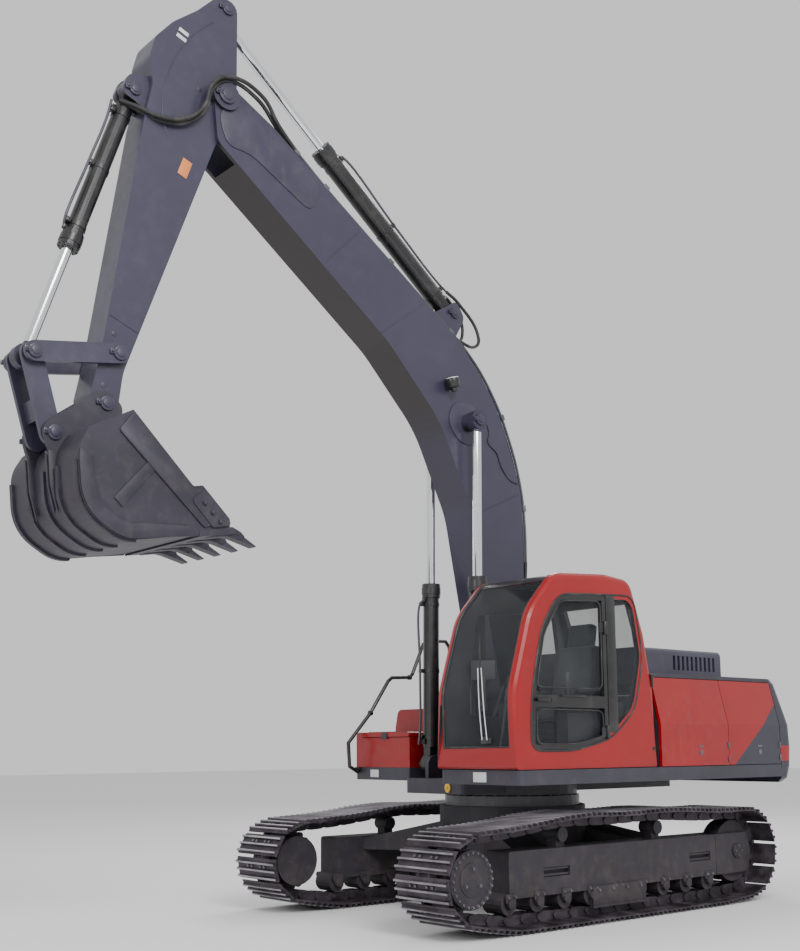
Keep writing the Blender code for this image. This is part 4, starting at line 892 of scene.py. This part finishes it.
# %% [markdown]
# The large opening in the left side is edged with a black rubber, and a second, thinner bead runs round
# the door's own panes. The outlines are the edges of the door and the quarter window as they stand in
# the frame, read from their outer faces. A bead needs a smooth path, so the outline is drawn here once.


# %% Side opening
def side_opening(inward=0.0):
    base = DECK + 0.155
    corners = [(1.12 - inward, base + inward), (1.10 - inward, base + 0.46), (0.97 - inward, base + 0.99),
               (0.76 - inward, base + 1.275 - inward), (-0.20 + inward, base + 1.325 - inward),
               (-0.30 + inward, base + 0.80), (-0.18 + inward, base + 0.34), (0.14, base + 0.10 + inward),
               (0.60, base + inward)]
    return [spot(x, CAB_LEFT, z) for x, z in rounded_outline(corners, 0.13, 5)]


opening_path = side_opening(-0.004)
opening_path.append(opening_path[0])
tubes("door_opening_bead", [opening_path], 0.0085, gasket_rubber, "upper", smooth=2)

door_face = CAB_LEFT + 0.001
band_z = DECK + 0.55
door_trim = bmesh.new()
block(door_trim, (0.300, 0.014, 0.014), level(swing_x + 0.62, door_face + 0.006, band_z + 0.044), 0.004)
block(door_trim, (0.150, 0.030, 0.030), level(swing_x + 0.985, door_face + 0.016, band_z + 0.008), 0.008)
drum(door_trim, 0.013, 0.020,
     level(swing_x + 0.885, door_face + 0.010, band_z + 0.008) @ TURN_TO_Y, 20, 0.002)
for z in (DECK + 0.30, DECK + 1.18):
    drum(door_trim, 0.016, 0.110, level(swing_x + 0.196, door_face + 0.010, z), 20, 0.004)
    block(door_trim, (0.070, 0.010, 0.080), level(swing_x + 0.235, door_face + 0.003, z), 0.003)
piece("cab_door_trim", door_trim, black_paint, "cab_door")

pane_path = [spot(x, door_face + 0.001, z) for x, z in rounded_outline(
    [(1.045, DECK + 0.660), (0.945, DECK + 1.100), (0.745, DECK + 1.375), (0.245, DECK + 1.405),
     (0.245, DECK + 0.660)], 0.07, 5)]
lower_path = [spot(x, door_face + 0.001, z) for x, z in rounded_outline(
    [(1.052, DECK + 0.205), (1.048, DECK + 0.480), (0.245, DECK + 0.480), (0.245, DECK + 0.260),
     (0.60, DECK + 0.205)], 0.07, 5)]
tubes("door_pane_beads", [path + [path[0]] for path in (pane_path, lower_path)], 0.006,
      gasket_rubber, "cab_door", smooth=2)

one_block("middle_pillar_cover", (0.118, 0.050, 1.170),
          level(swing_x + 0.1115, CAB_LEFT - 0.020, DECK + 0.885), 0.004, black_paint, "upper")

# %% [markdown]
# The wiper is a parallelogram: two thin arms from one motor hold the blade upright as it sweeps. A
# catch that holds the opened door completes the outside of the cab.

# %% Wiper and catches
WIPER_Y = GLASS_Y + 0.13
shield_x = edge[0].x + 0.012
wiper = bmesh.new()
drum(wiper, 0.030, 0.034, level(shield_x + 0.006, WIPER_Y, DECK + 0.235) @ TURN_TO_X, 24, 0.005)
block(wiper, (0.030, 0.120, 0.050), level(shield_x + 0.004, WIPER_Y + 0.010, DECK + 0.235), 0.008)
piece("wiper_motor_cover", wiper, black_paint, "upper")
arms = []
for shift in (-0.028, 0.028):
    arms.append([Vector((shield_x + 0.022, WIPER_Y + shift, DECK + 0.240)),
                 Vector((shield_x + 0.030, WIPER_Y + shift * 0.9 - 0.020, DECK + 0.500)),
                 Vector((shield_x + 0.022, WIPER_Y + shift * 0.7 - 0.045, DECK + 0.820))])
tubes("wiper_arms", arms, 0.0045, plate_white, "upper", smooth=4)
one_block("wiper_blade", (0.010, 0.012, 0.560),
          level(shield_x + 0.008, WIPER_Y - 0.052, DECK + 0.800), 0.003, gasket_rubber, "upper")

catch = bmesh.new()
block(catch, (0.060, 0.040, 0.018), level(swing_x - 0.440, CAB_LEFT - 0.012, DECK + 0.800), 0.005)
block(catch, (0.026, 0.028, 0.100), level(swing_x - 0.425, CAB_LEFT - 0.006, DECK + 0.745), 0.006)
block(catch, (0.034, 0.020, 0.030), level(swing_x - 0.420, CAB_LEFT - 0.004, DECK + 0.160), 0.005)
piece("door_catch", catch, black_paint, "upper")

# %% [markdown]
# Through the glass an operator's place shows: a padded seat, two armrest consoles with joysticks, a
# monitor, two travel levers with pedals, and a dark floor mat. The seat is upholstery, so it starts as
# low blocks that a Subdivision Surface modifier turns into crowned cushions, after a few loops are
# pulled in where the seams are sewn.

# %% Seat
seat_low, seat_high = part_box("seat")
SEAT_Y = (seat_low.y + seat_high.y) / 2
FLOOR = DECK + 0.056


def cushion(mesh, size, matrix, crown, seam=0.82):
    """A block with loops near its edges. Its middle is raised and its seam lines are drawn in."""
    verts = bmesh.ops.create_cube(mesh, size=1)["verts"]
    edges = list({edge for vert in verts for edge in vert.link_edges})
    bmesh.ops.subdivide_edges(mesh, edges=edges, cuts=7, use_grid_fill=True)
    made = [vert for vert in mesh.verts if vert.tag is False]
    for vert in made:
        u, v, w = vert.co.x * 2, vert.co.y * 2, vert.co.z
        swell = (1 - u ** 4) * (1 - v ** 4)
        groove = math.exp(-((abs(v) - seam * 0.62) / 0.07) ** 2) * 0.45
        vert.co.z = w + (0.5 if w > 0 else 0.1) * (crown / size[2]) * (swell - groove) * (1 if w > 0 else -1)
        rounding = 1 - 0.05 * abs(w * 2) ** 2
        vert.co.x *= rounding
        vert.co.y *= rounding
        vert.tag = True
    bmesh.ops.scale(mesh, vec=size, verts=made)
    placed(mesh, made, matrix)


def reclined(x, z):
    """Where a back cushion stands: upright, and leaning back."""
    lean = Matrix.Rotation(math.radians(-10), 4, "Y")
    return level(swing_x + x, SEAT_Y, FLOOR + z) @ lean @ Matrix.Rotation(math.radians(90), 4, "Y")


upholstery = bmesh.new()
cushion(upholstery, (0.500, 0.480, 0.130), level(swing_x + 0.375, SEAT_Y, FLOOR + 0.425), 0.030)
cushion(upholstery, (0.600, 0.470, 0.120), reclined(0.045, 0.705), 0.030)
cushion(upholstery, (0.220, 0.260, 0.095), reclined(-0.045, 1.090), 0.018)
seat = piece("seat_upholstery", upholstery, cloth, "upper")
rounding = seat.modifiers.new("rounding", "SUBSURF")
rounding.levels = rounding.render_levels = 2
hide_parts("seat")

base = bmesh.new()
block(base, (0.340, 0.300, 0.060), level(swing_x + 0.36, SEAT_Y, FLOOR + 0.040), 0.010)
for index in range(5):
    shrink = 0.012 * (index % 2)
    fold = (0.330 - shrink * 2, 0.300 - shrink * 2, 0.056)
    block(base, fold, level(swing_x + 0.36, SEAT_Y, FLOOR + 0.096 + index * 0.052), 0.012)
block(base, (0.440, 0.400, 0.030), level(swing_x + 0.37, SEAT_Y, FLOOR + 0.350), 0.008)
for way in (-1, 1):
    block(base, (0.300, 0.060, 0.045), level(swing_x + 0.24, SEAT_Y + way * 0.300, FLOOR + 0.590), 0.016)
piece("seat_base", base, cab_plastic, "upper")

# %% [markdown]
# The controls are small, and show through the glass only as shapes, but they make the cab read as a
# workplace: joysticks with gaiters on the consoles, travel levers on the floor and a monitor on its arm.

# %% Controls
controls = bmesh.new()
lever_lean = Matrix.Rotation(math.radians(-12), 4, "Y")
for way in (-1, 1):
    stick = level(swing_x + 0.545, SEAT_Y + way * 0.337, FLOOR + 0.500)
    drum(controls, 0.052, 0.050, stick @ level(z=0.025), 24, 0.006, top=0.026)
    drum(controls, 0.012, 0.110, stick @ level(z=0.100), 16, 0.002)
    drum(controls, 0.026, 0.110, stick @ level(z=0.190), 20, 0.010, top=0.021)
    lever = level(swing_x + 0.93, SEAT_Y + way * 0.075, FLOOR + 0.020)
    block(controls, (0.150, 0.105, 0.024), lever @ Matrix.Rotation(math.radians(-20), 4, "Y"), 0.006)
    drum(controls, 0.011, 0.500, lever @ level(x=-0.030, z=0.250) @ lever_lean, 16, 0.002)
    drum(controls, 0.020, 0.110, lever @ level(x=-0.088, z=0.540) @ lever_lean, 20, 0.006)
monitor = (level(swing_x + 0.90, glass_low.y + 0.095, FLOOR + 0.780)
           @ Matrix.Rotation(math.radians(25), 4, "Z"))
block(controls, (0.050, 0.230, 0.170), monitor, 0.014)
block(controls, (0.040, 0.050, 0.300), monitor @ level(0.010, 0, -0.200), 0.010)
piece("controls", controls, trim_plastic, "upper")
one_block("monitor_screen", (0.004, 0.185, 0.125), monitor @ level(x=-0.0265), 0.001, black_paint, "upper")
mat = bmesh.new()
block(mat, (0.760, 0.780, 0.012), level(swing_x + 0.80, SEAT_Y, FLOOR + 0.004), 0.004)
for index in range(14):
    block(mat, (0.010, 0.740, 0.006), level(swing_x + 0.46 + index * 0.052, SEAT_Y, FLOOR + 0.012), 0.001)
piece("floor_mat", mat, hose_rubber, "upper")
one_block("headliner", (0.640, 0.640, 0.024),
          level(swing_x + 0.17, SEAT_Y, cab_high.z - 0.066), 0.010, trim_plastic, "upper")
one_block("rear_shelf", (0.160, 0.760, 0.560),
          level(swing_x - 0.270, SEAT_Y, FLOOR + 0.290), 0.030, cab_plastic, "upper")

# %% [markdown]
# The body sides are plain doors, so the small hardware matters: a round lock and a slot handle on each
# door, hinge barrels at its rear edge, and two blank plates on the front of the deck. The turntable
# shows an oval grease fitting. The tool box's lid has a tread plate and a latch, and the tanks have a
# tread plate, a filler cap and a bolted cover.

# %% Body hardware
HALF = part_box("left_front_side_door")[1].y
hardware = bmesh.new()
left = Matrix.Rotation(-math.pi / 2, 4, "X")
right = Matrix.Rotation(math.pi / 2, 4, "X")


def lock(mesh, x, z, way):
    """A round lock in a recessed cup, with a slot handle under it."""
    place = level(swing_x + x, way * (HALF + 0.001), z) @ (left if way > 0 else right)
    drum(mesh, 0.024, 0.006, place, 28, 0.002)
    drum(mesh, 0.011, 0.012, place, 20, 0.002)
    block(mesh, (0.070, 0.016, 0.005), place @ level(y=-0.055 if way > 0 else 0.055), 0.002)


lock(hardware, -1.07, 1.36, 1)
lock(hardware, -2.00, 1.36, 1)
lock(hardware, -1.36, 1.36, -1)
for x, z in ((-1.492, 1.42), (-1.492, 1.30), (-2.335, 1.42), (-2.335, 1.30)):
    drum(hardware, 0.009, 0.060, level(swing_x + x, HALF + 0.003, z), 16, 0.002)
piece("door_locks", hardware, bolt_steel, "upper")

plates = bmesh.new()
block(plates, (0.006, 0.150, 0.080), level(swing_x + 1.257, 0.88, 1.180), 0.002)
block(plates, (0.006, 0.120, 0.070), level(swing_x + 0.777, -1.06, 1.180), 0.002)
piece("deck_plates", plates, plate_white, "upper")
fitting = bmesh.new()
drum(fitting, 0.034, 0.020,
     level(swing_x + 0.986, 0.200, 1.075) @ TURN_TO_X @ Matrix.Diagonal((1.25, 1, 1, 1)), 28, 0.006)
drum(fitting, 0.012, 0.036, level(swing_x + 0.990, 0.200, 1.075) @ TURN_TO_X, 16, 0.003)
piece("grease_fitting", fitting, plate_yellow, "upper")



def middle_of(low, high):
    """The middle of a box, seen from above."""
    return (low.x + high.x) / 2, (low.y + high.y) / 2


lid_low, lid_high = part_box("tool_box_lid")
lid_x, lid_y = middle_of(lid_low, lid_high)
lid_parts = bmesh.new()
block(lid_parts, (0.430, 0.560, 0.004), level(lid_x, lid_y, lid_high.z + 0.001), 0.001)
for row in range(9):
    for column in range(12):
        rib = level(lid_low.x + 0.055 + row * 0.047, lid_low.y + 0.075 + column * 0.047, lid_high.z + 0.004)
        turn = Matrix.Rotation(math.radians(45 if (row + column) % 2 else -45), 4, "Z")
        block(lid_parts, (0.022, 0.007, 0.004), rib @ turn, 0.001)
block(lid_parts, (0.012, 0.080, 0.060), level(lid_high.x + 0.004, lid_y, lid_low.z + 0.010), 0.003)
piece("lid_tread_plate", lid_parts, deck_paint, "tool_box_lid")

tank_low, tank_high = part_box("fuel_tank")
tank_x = middle_of(tank_low, tank_high)[0]
tank_parts = bmesh.new()
block(tank_parts, (0.560, 0.560, 0.004), level(tank_x, -0.92, tank_high.z + 0.001), 0.001)
drum(tank_parts, 0.060, 0.070, level(tank_x - 0.10, -0.78, tank_high.z + 0.030), 28, 0.008)
drum(tank_parts, 0.048, 0.030, level(tank_x - 0.10, -0.78, tank_high.z + 0.075), 8, 0.006)
hyd_low, hyd_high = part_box("hydraulic_tank")
hyd_x = middle_of(hyd_low, hyd_high)[0]
drum(tank_parts, 0.100, 0.018, level(hyd_x, -0.88, hyd_high.z + 0.008), 36, 0.004)
bolt_circle(tank_parts, level(hyd_x, -0.88, hyd_high.z + 0.015), 0.080, 6, 0.020)
piece("tank_fittings", tank_parts, deck_paint, "upper")

# %% [markdown]
# The hood is a pressing with louvres. The slots are open in the frame, so thin slanted fins go behind
# them, and its front edge gets two hinges and its rear a pull handle. Two lifting eyes stand on the
# counterweight, and clamps hold the handrail.

# %% Hood and counterweight
hood_low, hood_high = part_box("engine_hood")
hood_hinge = pin("engine_hood_hinge")
hood_parts = bmesh.new()
for y in (hood_high.y - 0.034, hood_low.y + 0.034):
    for index in range(10):
        x = hood_low.x + 0.117 + index * 0.068
        block(hood_parts, (0.050, 0.003, 0.150), level(x + 0.017, y, (hood_low.z + hood_high.z) / 2)
              @ Matrix.Rotation(math.radians(35), 4, "Z"), 0)
for y in (hood_low.y + 0.30, hood_high.y - 0.30):
    drum(hood_parts, 0.009, 0.120, level(hood_hinge.x, y, hood_hinge.z) @ TURN_TO_Y, 16, 0.002)
    block(hood_parts, (0.005, 0.090, 0.070), level(hood_high.x, y, hood_hinge.z + 0.045), 0.002)
block(hood_parts, (0.020, 0.140, 0.020), level(hood_low.x - 0.014, 0.05, hood_low.z + 0.090), 0.006)
piece("hood_fins", hood_parts, black_paint, "engine_hood")

weight_low, weight_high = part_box("counterweight")
rear = bmesh.new()
for y in (-0.42, 0.42):
    drum(rear, 0.060, 0.012, level(weight_low.x + 0.470, y, weight_high.z + 0.002), 28, 0.003)
    eye = [Vector((weight_low.x + 0.470, y - 0.045, weight_high.z)),
           Vector((weight_low.x + 0.470, y - 0.040, weight_high.z + 0.045)),
           Vector((weight_low.x + 0.470, y + 0.040, weight_high.z + 0.045)),
           Vector((weight_low.x + 0.470, y + 0.045, weight_high.z))]
    pour(tube(eye, 0.011), rear)
piece("lifting_eyes", rear, hood_paint, "upper")

feet = bmesh.new()
for x, z in ((0.790, 1.245), (-0.430, 2.060)):
    block(feet, (0.070, 0.050, 0.050), level(swing_x + x, -1.290, z - 0.030), 0.008)
for x, z in ((0.640, 1.760), (0.130, 2.125)):
    drum(feet, 0.026, 0.036, level(swing_x + x, -1.290, z) @ TURN_TO_X, 20, 0.004)
piece("rail_clamps", feet, black_paint, "upper")

# %% [markdown]
# Every pin ends in a collar with a keeper plate and a bolt. They all look alike, so one helper makes
# them in a list: where the pin is, how far out the collar stands, its radius, and the body it rides on.

# %% Pin ends
BUCKET_ANGLE = math.radians(-137.2)
BUCKET_TIP_RADIUS = 1.458     # from the bucket's pin to the tips of its teeth
to_tips = Vector((math.cos(BUCKET_ANGLE), 0, math.sin(BUCKET_ANGLE)))
bucket = Member(pin("bucket_curl"), pin("bucket_curl") + to_tips * BUCKET_TIP_RADIUS)
boom_cylinder = Member(pin("boom_cylinder_foot"), boom_rod_pin)
arm_cylinder = Member(pin("arm_cylinder_foot"), arm_rod_pin)

PIN_ENDS = {"upper": [(pin("boom_lift"), 0.288, 0.062), (pin("boom_cylinder_foot"), 0.358, 0.050)],
            "boom": [(boom_rod_pin, 0.358, 0.052), (pin("arm_swing"), 0.217, 0.078),
                     (pin("arm_cylinder_foot"), 0.088, 0.052)],
            "arm": [(arm_rod_pin, 0.146, 0.055), (pin("bucket_cylinder_foot"), 0.088, 0.052),
                    (pin("rocker_swing"), 0.198, 0.055)],
            "rocker_links": [(knuckle, 0.198, 0.052)],
            "bucket": [(pin("bucket_curl"), 0.194, 0.056), (pin("h_link_swing"), 0.194, 0.056)]}
for body, ends in PIN_ENDS.items():
    collars = bmesh.new()
    for place, outer, radius in ends:
        for way, turn in ((1, left), (-1, right)):
            end = level(place.x, way * (outer + 0.008), place.z) @ turn
            drum(collars, radius, 0.016, end, 32, 0.004)
            drum(collars, radius * 0.62, 0.030, end, 28, 0.004)
            keeper = end @ level(radius * 0.95, 0, 0.006)
            block(collars, (0.070, 0.038, 0.010), keeper, 0.003)
            bolt(collars, keeper @ level(x=0.018, z=0.004), 0.018, 0.008)
    piece(f"pin_ends_{body}", collars, boom_paint if body != "upper" else black_paint, body)
print("pin groups:", len(PIN_ENDS))

# %% [markdown]
# A cylinder is more than a tube and a rod. Its gland is bolted, clamps hold a steel pipe along the
# barrel, and ports stand up at both ends.

# %% Cylinder fittings
CYLINDERS = [("boom_cylinder_barrels", boom_cylinder, 0.073, 1.62, (0.312, -0.312), -1),
             ("arm_cylinder_barrel", arm_cylinder, 0.084, 1.88, (0.0,), 1),
             ("bucket_cylinder_barrel", bucket_cylinder, 0.070, 1.44, (0.0,), 1)]
for body, member, radius, length, sides, up in CYLINDERS:
    fittings, pipes = bmesh.new(), []
    for y in sides:
        pipe_y = y + (0.030 if y >= 0 else -0.030)
        away = up * (radius + 0.022)
        for along in (0.240, length * 0.52, length - 0.160):
            ring = member.matrix(along, 0, y) @ TURN_TO_X
            collar(fittings, radius + 0.005, radius - 0.004, 0.034, ring)
            block(fittings, (0.036, 0.050, 0.040), member.matrix(along, away * 0.93, pipe_y), 0.005)
        gland = member.matrix(length - 0.035, 0, y) @ TURN_TO_X
        collar(fittings, radius + 0.016, radius - 0.004, 0.060, gland)
        for index in range(10):
            angle = math.tau * index / 10
            reach = radius + 0.001
            head = gland @ level(reach * math.cos(angle), reach * math.sin(angle), 0.062)
            drum(fittings, 0.009, 0.014, head, 8, 0.001)
        for along in (0.200, length - 0.120):
            block(fittings, (0.046, 0.040, 0.034), member.matrix(along, away * 0.86, y), 0.006)
        pipes.append(course(member, (length - 0.120, away * 0.95, y), (length - 0.160, away * 1.18, pipe_y),
                            (length * 0.5, away * 1.14, pipe_y), (0.300, away * 1.14, pipe_y),
                            (0.170, away * 1.30, pipe_y)))
    piece(f"fittings_{body}", fittings, black_paint, body)
    tubes(f"pipes_{body}", pipes, 0.011, pipe_paint, body)

# %% [markdown]
# Oil reaches the arm through steel pipes clamped along the top of the boom. Near its tip they end in
# couplings, and rubber hoses carry on over the joint between the boom and the arm in a loop. The curves
# start and end along the pipes that they join.

# %% Boom pipes and hoses
BOOM_TOP = [(0.860, 0.870), (1.150, 1.060), (1.500, 1.235), (1.950, 1.360), (2.380, 1.402), (2.800, 1.352),
            (3.400, 1.130), (4.200, 0.802), (4.700, 0.600), (5.060, 0.475)]
PIPE_Y = (-0.158, -0.122, 0.122, 0.158)
pipe_paths = [[boom.at(along, above, y) for along, above in BOOM_TOP] for y in PIPE_Y]
tubes("boom_pipes", pipe_paths, 0.013, pipe_paint, "boom")
clamps = bmesh.new()
for along, above, turn in ((1.300, 1.140, 26), (2.150, 1.392, 8), (3.100, 1.248, -21), (3.900, 0.925, -22),
                           (4.700, 0.600, -22)):
    for way in (-1, 1):
        place = boom.matrix(along, above, way * 0.140) @ Matrix.Rotation(-math.radians(turn), 4, "Y")
        block(clamps, (0.060, 0.084, 0.040), place, 0.006)
        bolt(clamps, place @ level(z=0.018), 0.018, 0.008)
for y in PIPE_Y:
    place = boom.matrix(5.060, 0.475, y) @ Matrix.Rotation(math.radians(22), 4, "Y") @ TURN_TO_X
    drum(clamps, 0.022, 0.060, place, 6, 0.002)
piece("pipe_clamps", clamps, bolt_steel, "boom")

hose_paths = []
for y, reach in ((0.158, 0.0), (0.195, 0.030)):
    start = 0.158 if y > 0.17 else 0.122
    hose_paths.append(course(boom, (5.060, 0.475, start), (5.300, 0.385, y),
                             (5.560, 0.300 + reach, y + 0.030))
                      + course(arm, (-0.113, 0.039 + reach, y + 0.055), (0.060, 0.130 + reach, y + 0.060),
                               (0.250, 0.120 + reach, y + 0.050), (0.440, 0.210 + reach, y + 0.030),
                               (0.560, 0.400 + reach, y), (0.560, 0.600, y - 0.070), (0.560, 0.720, 0.060)))
hoses = tubes("bucket_hoses", hose_paths, 0.017, hose_rubber, None)
boom.at(5.300, 0.385)
arm.at(0.250, 0.120)
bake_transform(hoses)
arm_loops = [course(boom, (3.133, 1.245, 0.122), (2.960, 1.360, 0.122), (2.850, 1.520, 0.105),
                    (2.900, 1.650, 0.075))
             + course(arm_cylinder, (0.020, 0.160, 0.040), (0.170, 0.138, 0.030)),
             course(boom, (3.133, 1.245, -0.122), (3.000, 1.340, -0.118), (2.930, 1.480, -0.090),
                    (2.990, 1.600, -0.050))
             + course(arm_cylinder, (0.080, 0.130, -0.010), (0.190, 0.092, 0.0))]
arm_hoses = tubes("arm_cylinder_hoses", arm_loops, 0.015, hose_rubber, None)
boom.at(2.960, 1.360)
arm_cylinder.at(0.080, 0.130)
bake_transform(arm_hoses)
foot_loops = [course(boom, (0.860, 0.870, y), (0.640, 0.700, y), (0.330, 0.520, y * 0.9),
                     (0.120, 0.300, y * 0.8)) for y in PIPE_Y]
tubes("boom_foot_hoses", foot_loops, 0.016, hose_rubber, "boom")
grease = course(boom, (2.182, 1.150, 0.190), (2.100, 1.120, 0.190), (2.045, 1.060, 0.190),
                (1.900, 1.100, 0.190), (1.763, 1.080, 0.190), (1.600, 1.120, 0.190), (1.540, 1.180, 0.190))
tubes("grease_line", [grease], 0.005, hose_rubber, "boom")

# %% [markdown]
# A work lamp sits low on the boom's left side. Welds show as low beads across the plates, and the tip of
# the boom is doubled by a thicker plate around the arm's pin. Labels are left as blank coloured plates.

# %% Boom and arm details
lamp = bmesh.new()
lamp_place = boom.matrix(2.700, 0.900, 0.262) @ Matrix.Rotation(math.radians(-20), 4, "Y") @ TURN_TO_X
block(lamp, (0.110, 0.060, 0.030), boom.matrix(2.700, 0.900, 0.205), 0.006)
drum(lamp, 0.058, 0.085, lamp_place, 36, 0.010, top=0.066)
drum(lamp, 0.030, 0.050, lamp_place @ level(z=-0.055), 24, 0.008)
piece("work_lamp", lamp, black_paint, "boom")
lens = bmesh.new()
drum(lens, 0.058, 0.008, lamp_place @ level(z=0.043), 36, 0.002)
piece("work_lamp_lens", lens, lens_glass, "boom")

BOOM_HALF, ARM_HALF = 0.185, 0.145
doubler = bmesh.new()
tip_plate = rounded_outline([(5.640, 0.135), (5.300, 0.300), (4.700, 0.520), (4.560, 0.300), (5.180, -0.030),
                             (5.300, -0.215), (5.560, -0.145)], 0.10, 4)
for y in (-BOOM_HALF - 0.008, BOOM_HALF):
    plate(doubler, tip_plate, 0.008, boom.matrix(y=y), 0.003)
mid_plate = rounded_outline([(2.080, 0.860), (2.200, 0.720), (2.420, 0.700), (2.540, 0.860),
                             (2.440, 1.080), (2.180, 1.090)], 0.10, 4)
for y in (-BOOM_HALF - 0.010, BOOM_HALF):
    plate(doubler, mid_plate, 0.010, boom.matrix(y=y), 0.003)
piece("boom_doublers", doubler, boom_paint, "boom")
beads = []
for way in (-1, 1):
    y = way * (BOOM_HALF + 0.001)
    beads += [course(boom, (4.150, 0.225, y), (4.200, 0.450, y), (4.260, 0.740, y)),
              course(boom, (1.560, 0.530, y), (1.500, 0.830, y), (1.450, 1.150, y)),
              course(boom, (3.403, 0.440, y), (3.420, 0.760, y), (3.440, 1.060, y))]
tubes("boom_welds", beads, 0.0045, boom_paint, "boom", smooth=3)
arm_beads = []
for way in (-1, 1):
    y = way * (ARM_HALF + 0.001)
    arm_beads += [course(arm, (2.250, -0.045, y), (2.245, 0.080, y), (2.240, 0.205, y)),
                  course(arm, (-0.560, 0.300, y), (-0.300, 0.420, y), (0.100, 0.480, y), (0.500, 0.400, y),
                         (0.620, 0.300, y))]
tubes("arm_welds", arm_beads, 0.0045, boom_paint, "arm", smooth=3)
bosses = bmesh.new()
for along, above in ((2.355, 0.120), (2.762, 0.055), (0.068, 0.204)):
    for way, turn in ((1, left), (-1, right)):
        place = Matrix.Translation(arm.at(along, above, way * ARM_HALF))
        drum(bosses, 0.022, 0.008, place @ turn, 24, 0.002)
piece("arm_bosses", bosses, boom_paint, "arm")
one_block("arm_plate_orange", (0.150, 0.004, 0.085), arm.matrix(0.780, 0.080, ARM_HALF + 0.002), 0.001,
          plate_orange, "arm")
stripes = bmesh.new()
for along in (-0.285, -0.225):
    block(stripes, (0.032, 0.004, 0.090), arm.matrix(along, 0.490, ARM_HALF + 0.002), 0.001)
piece("arm_plate_stripes", stripes, plate_white, "arm")

# %% [markdown]
# The bucket is a welded box. A thick band frames each side plate, strips run around the back where it
# wears, the cutting edge carries pinned adapters under the teeth, three bolts stand on each side of the
# mouth, and gussets join the ears to the back.

# %% Bucket details
BUCKET_HALF = 0.560
MIDDLE = (0.60, 0.42)         # of the bucket, along it and above it
shell = frame["nodes"]["bucket"].data
middle = bucket.at(*MIDDLE)
stations = set()
for face in shell.polygons:
    corners = [shell.vertices[index].co for index in face.vertices]
    width = max(corner.y for corner in corners) - min(corner.y for corner in corners)
    outward = (face.center - middle).normalized()
    if width > 1.0 and abs(face.normal.y) < 0.05 and face.normal.dot(outward) > 0.25:
        stations.update((round(corner.x, 4), round(corner.z, 4)) for corner in corners)
around = []
for x, z in stations:
    offset = Vector((x, 0, z)) - middle
    u, v = offset.dot(bucket.along), offset.dot(bucket.above)
    around.append((math.atan2(v, u), u + MIDDLE[0], v + MIDDLE[1]))
around = [(u, v) for angle, u, v in sorted(around)]
print("stations around the back of the bucket:", len(around))
mouth_band = rounded_outline([(0.115, 0.095), (0.800, 0.115), (0.850, 0.050), (1.150, 0.060),
                              (1.060, 0.250), (0.130, 0.270)], 0.020, 2)
centre = Vector(MIDDLE)


def beside_wrapper(inset, first=-0.25, last=3.20):
    """The wrapper's side view, moved towards the bucket's middle."""
    inner = []
    for u, v in around:
        point = Vector((u, v))
        if first < math.atan2(v - centre.y, u - centre.x) < last:
            inner.append(point + (centre - point).normalized() * inset)
    return [tuple(point) for point in inner]


back_band = beside_wrapper(0.008) + list(reversed(beside_wrapper(0.125)))
stiffener = [(0.430, 0.262), (0.510, 0.262), (0.530, 0.640), (0.440, 0.640)]
bands = bmesh.new()
for y in (-BUCKET_HALF - 0.014, BUCKET_HALF - 0.002):
    plate(bands, mouth_band, 0.016, bucket.matrix(y=y), 0.003)
    plate(bands, back_band, 0.014, bucket.matrix(y=y + (0.002 if y < 0 else 0.0)), 0.003)
    plate(bands, stiffener, 0.012, bucket.matrix(y=y + (0.004 if y < 0 else 0.0)), 0.003)
piece("bucket_side_bands", bands, bucket_paint, "bucket")

strips = bmesh.new()
strip_outline = beside_wrapper(-0.020, 0.30, 2.75) + list(reversed(beside_wrapper(0.004, 0.30, 2.75)))
for y in (-0.545, -0.270, 0.0, 0.225, 0.500):
    plate(strips, strip_outline, 0.045, bucket.matrix(y=y), 0)
piece("bucket_wear_strips", strips, bucket_paint, "bucket")

adapters = bmesh.new()
adapter = rounded_outline([(1.120, 0.215), (1.215, 0.050), (1.290, 0.022), (1.345, 0.020),
                           (1.330, 0.070), (1.235, 0.135), (1.150, 0.245)], 0.012, 2)
TOOTH_COUNT = 5
TOOTH_SPREAD = 0.990          # between the outer two teeth
for index in range(TOOTH_COUNT):
    y = (index / (TOOTH_COUNT - 1) - 0.5) * TOOTH_SPREAD
    plate(adapters, adapter, 0.100, bucket.matrix(y=y - 0.050), 0.005)
    drum(adapters, 0.012, 0.112, bucket.matrix(1.285, 0.052, y) @ TURN_TO_Y, 16, 0.002)
for way, turn in ((1, left), (-1, right)):
    for along in (0.930, 1.020, 1.110):
        place = Matrix.Translation(bucket.at(along, 0.125, way * 0.583))
        bolt(adapters, place @ turn, 0.030, 0.014)
piece("tooth_adapters", adapters, bucket_paint, "bucket")
gussets = bmesh.new()
gusset = [(0.020, 0.560), (0.200, 0.700), (0.330, 0.872), (0.140, 0.760), (-0.040, 0.600)]
for way in (-1, 1):
    for y in (0.150, 0.200):
        plate(gussets, gusset, 0.016, bucket.matrix(y=way * y - 0.008), 0.002)
piece("bucket_gussets", gussets, bucket_paint, "bucket")
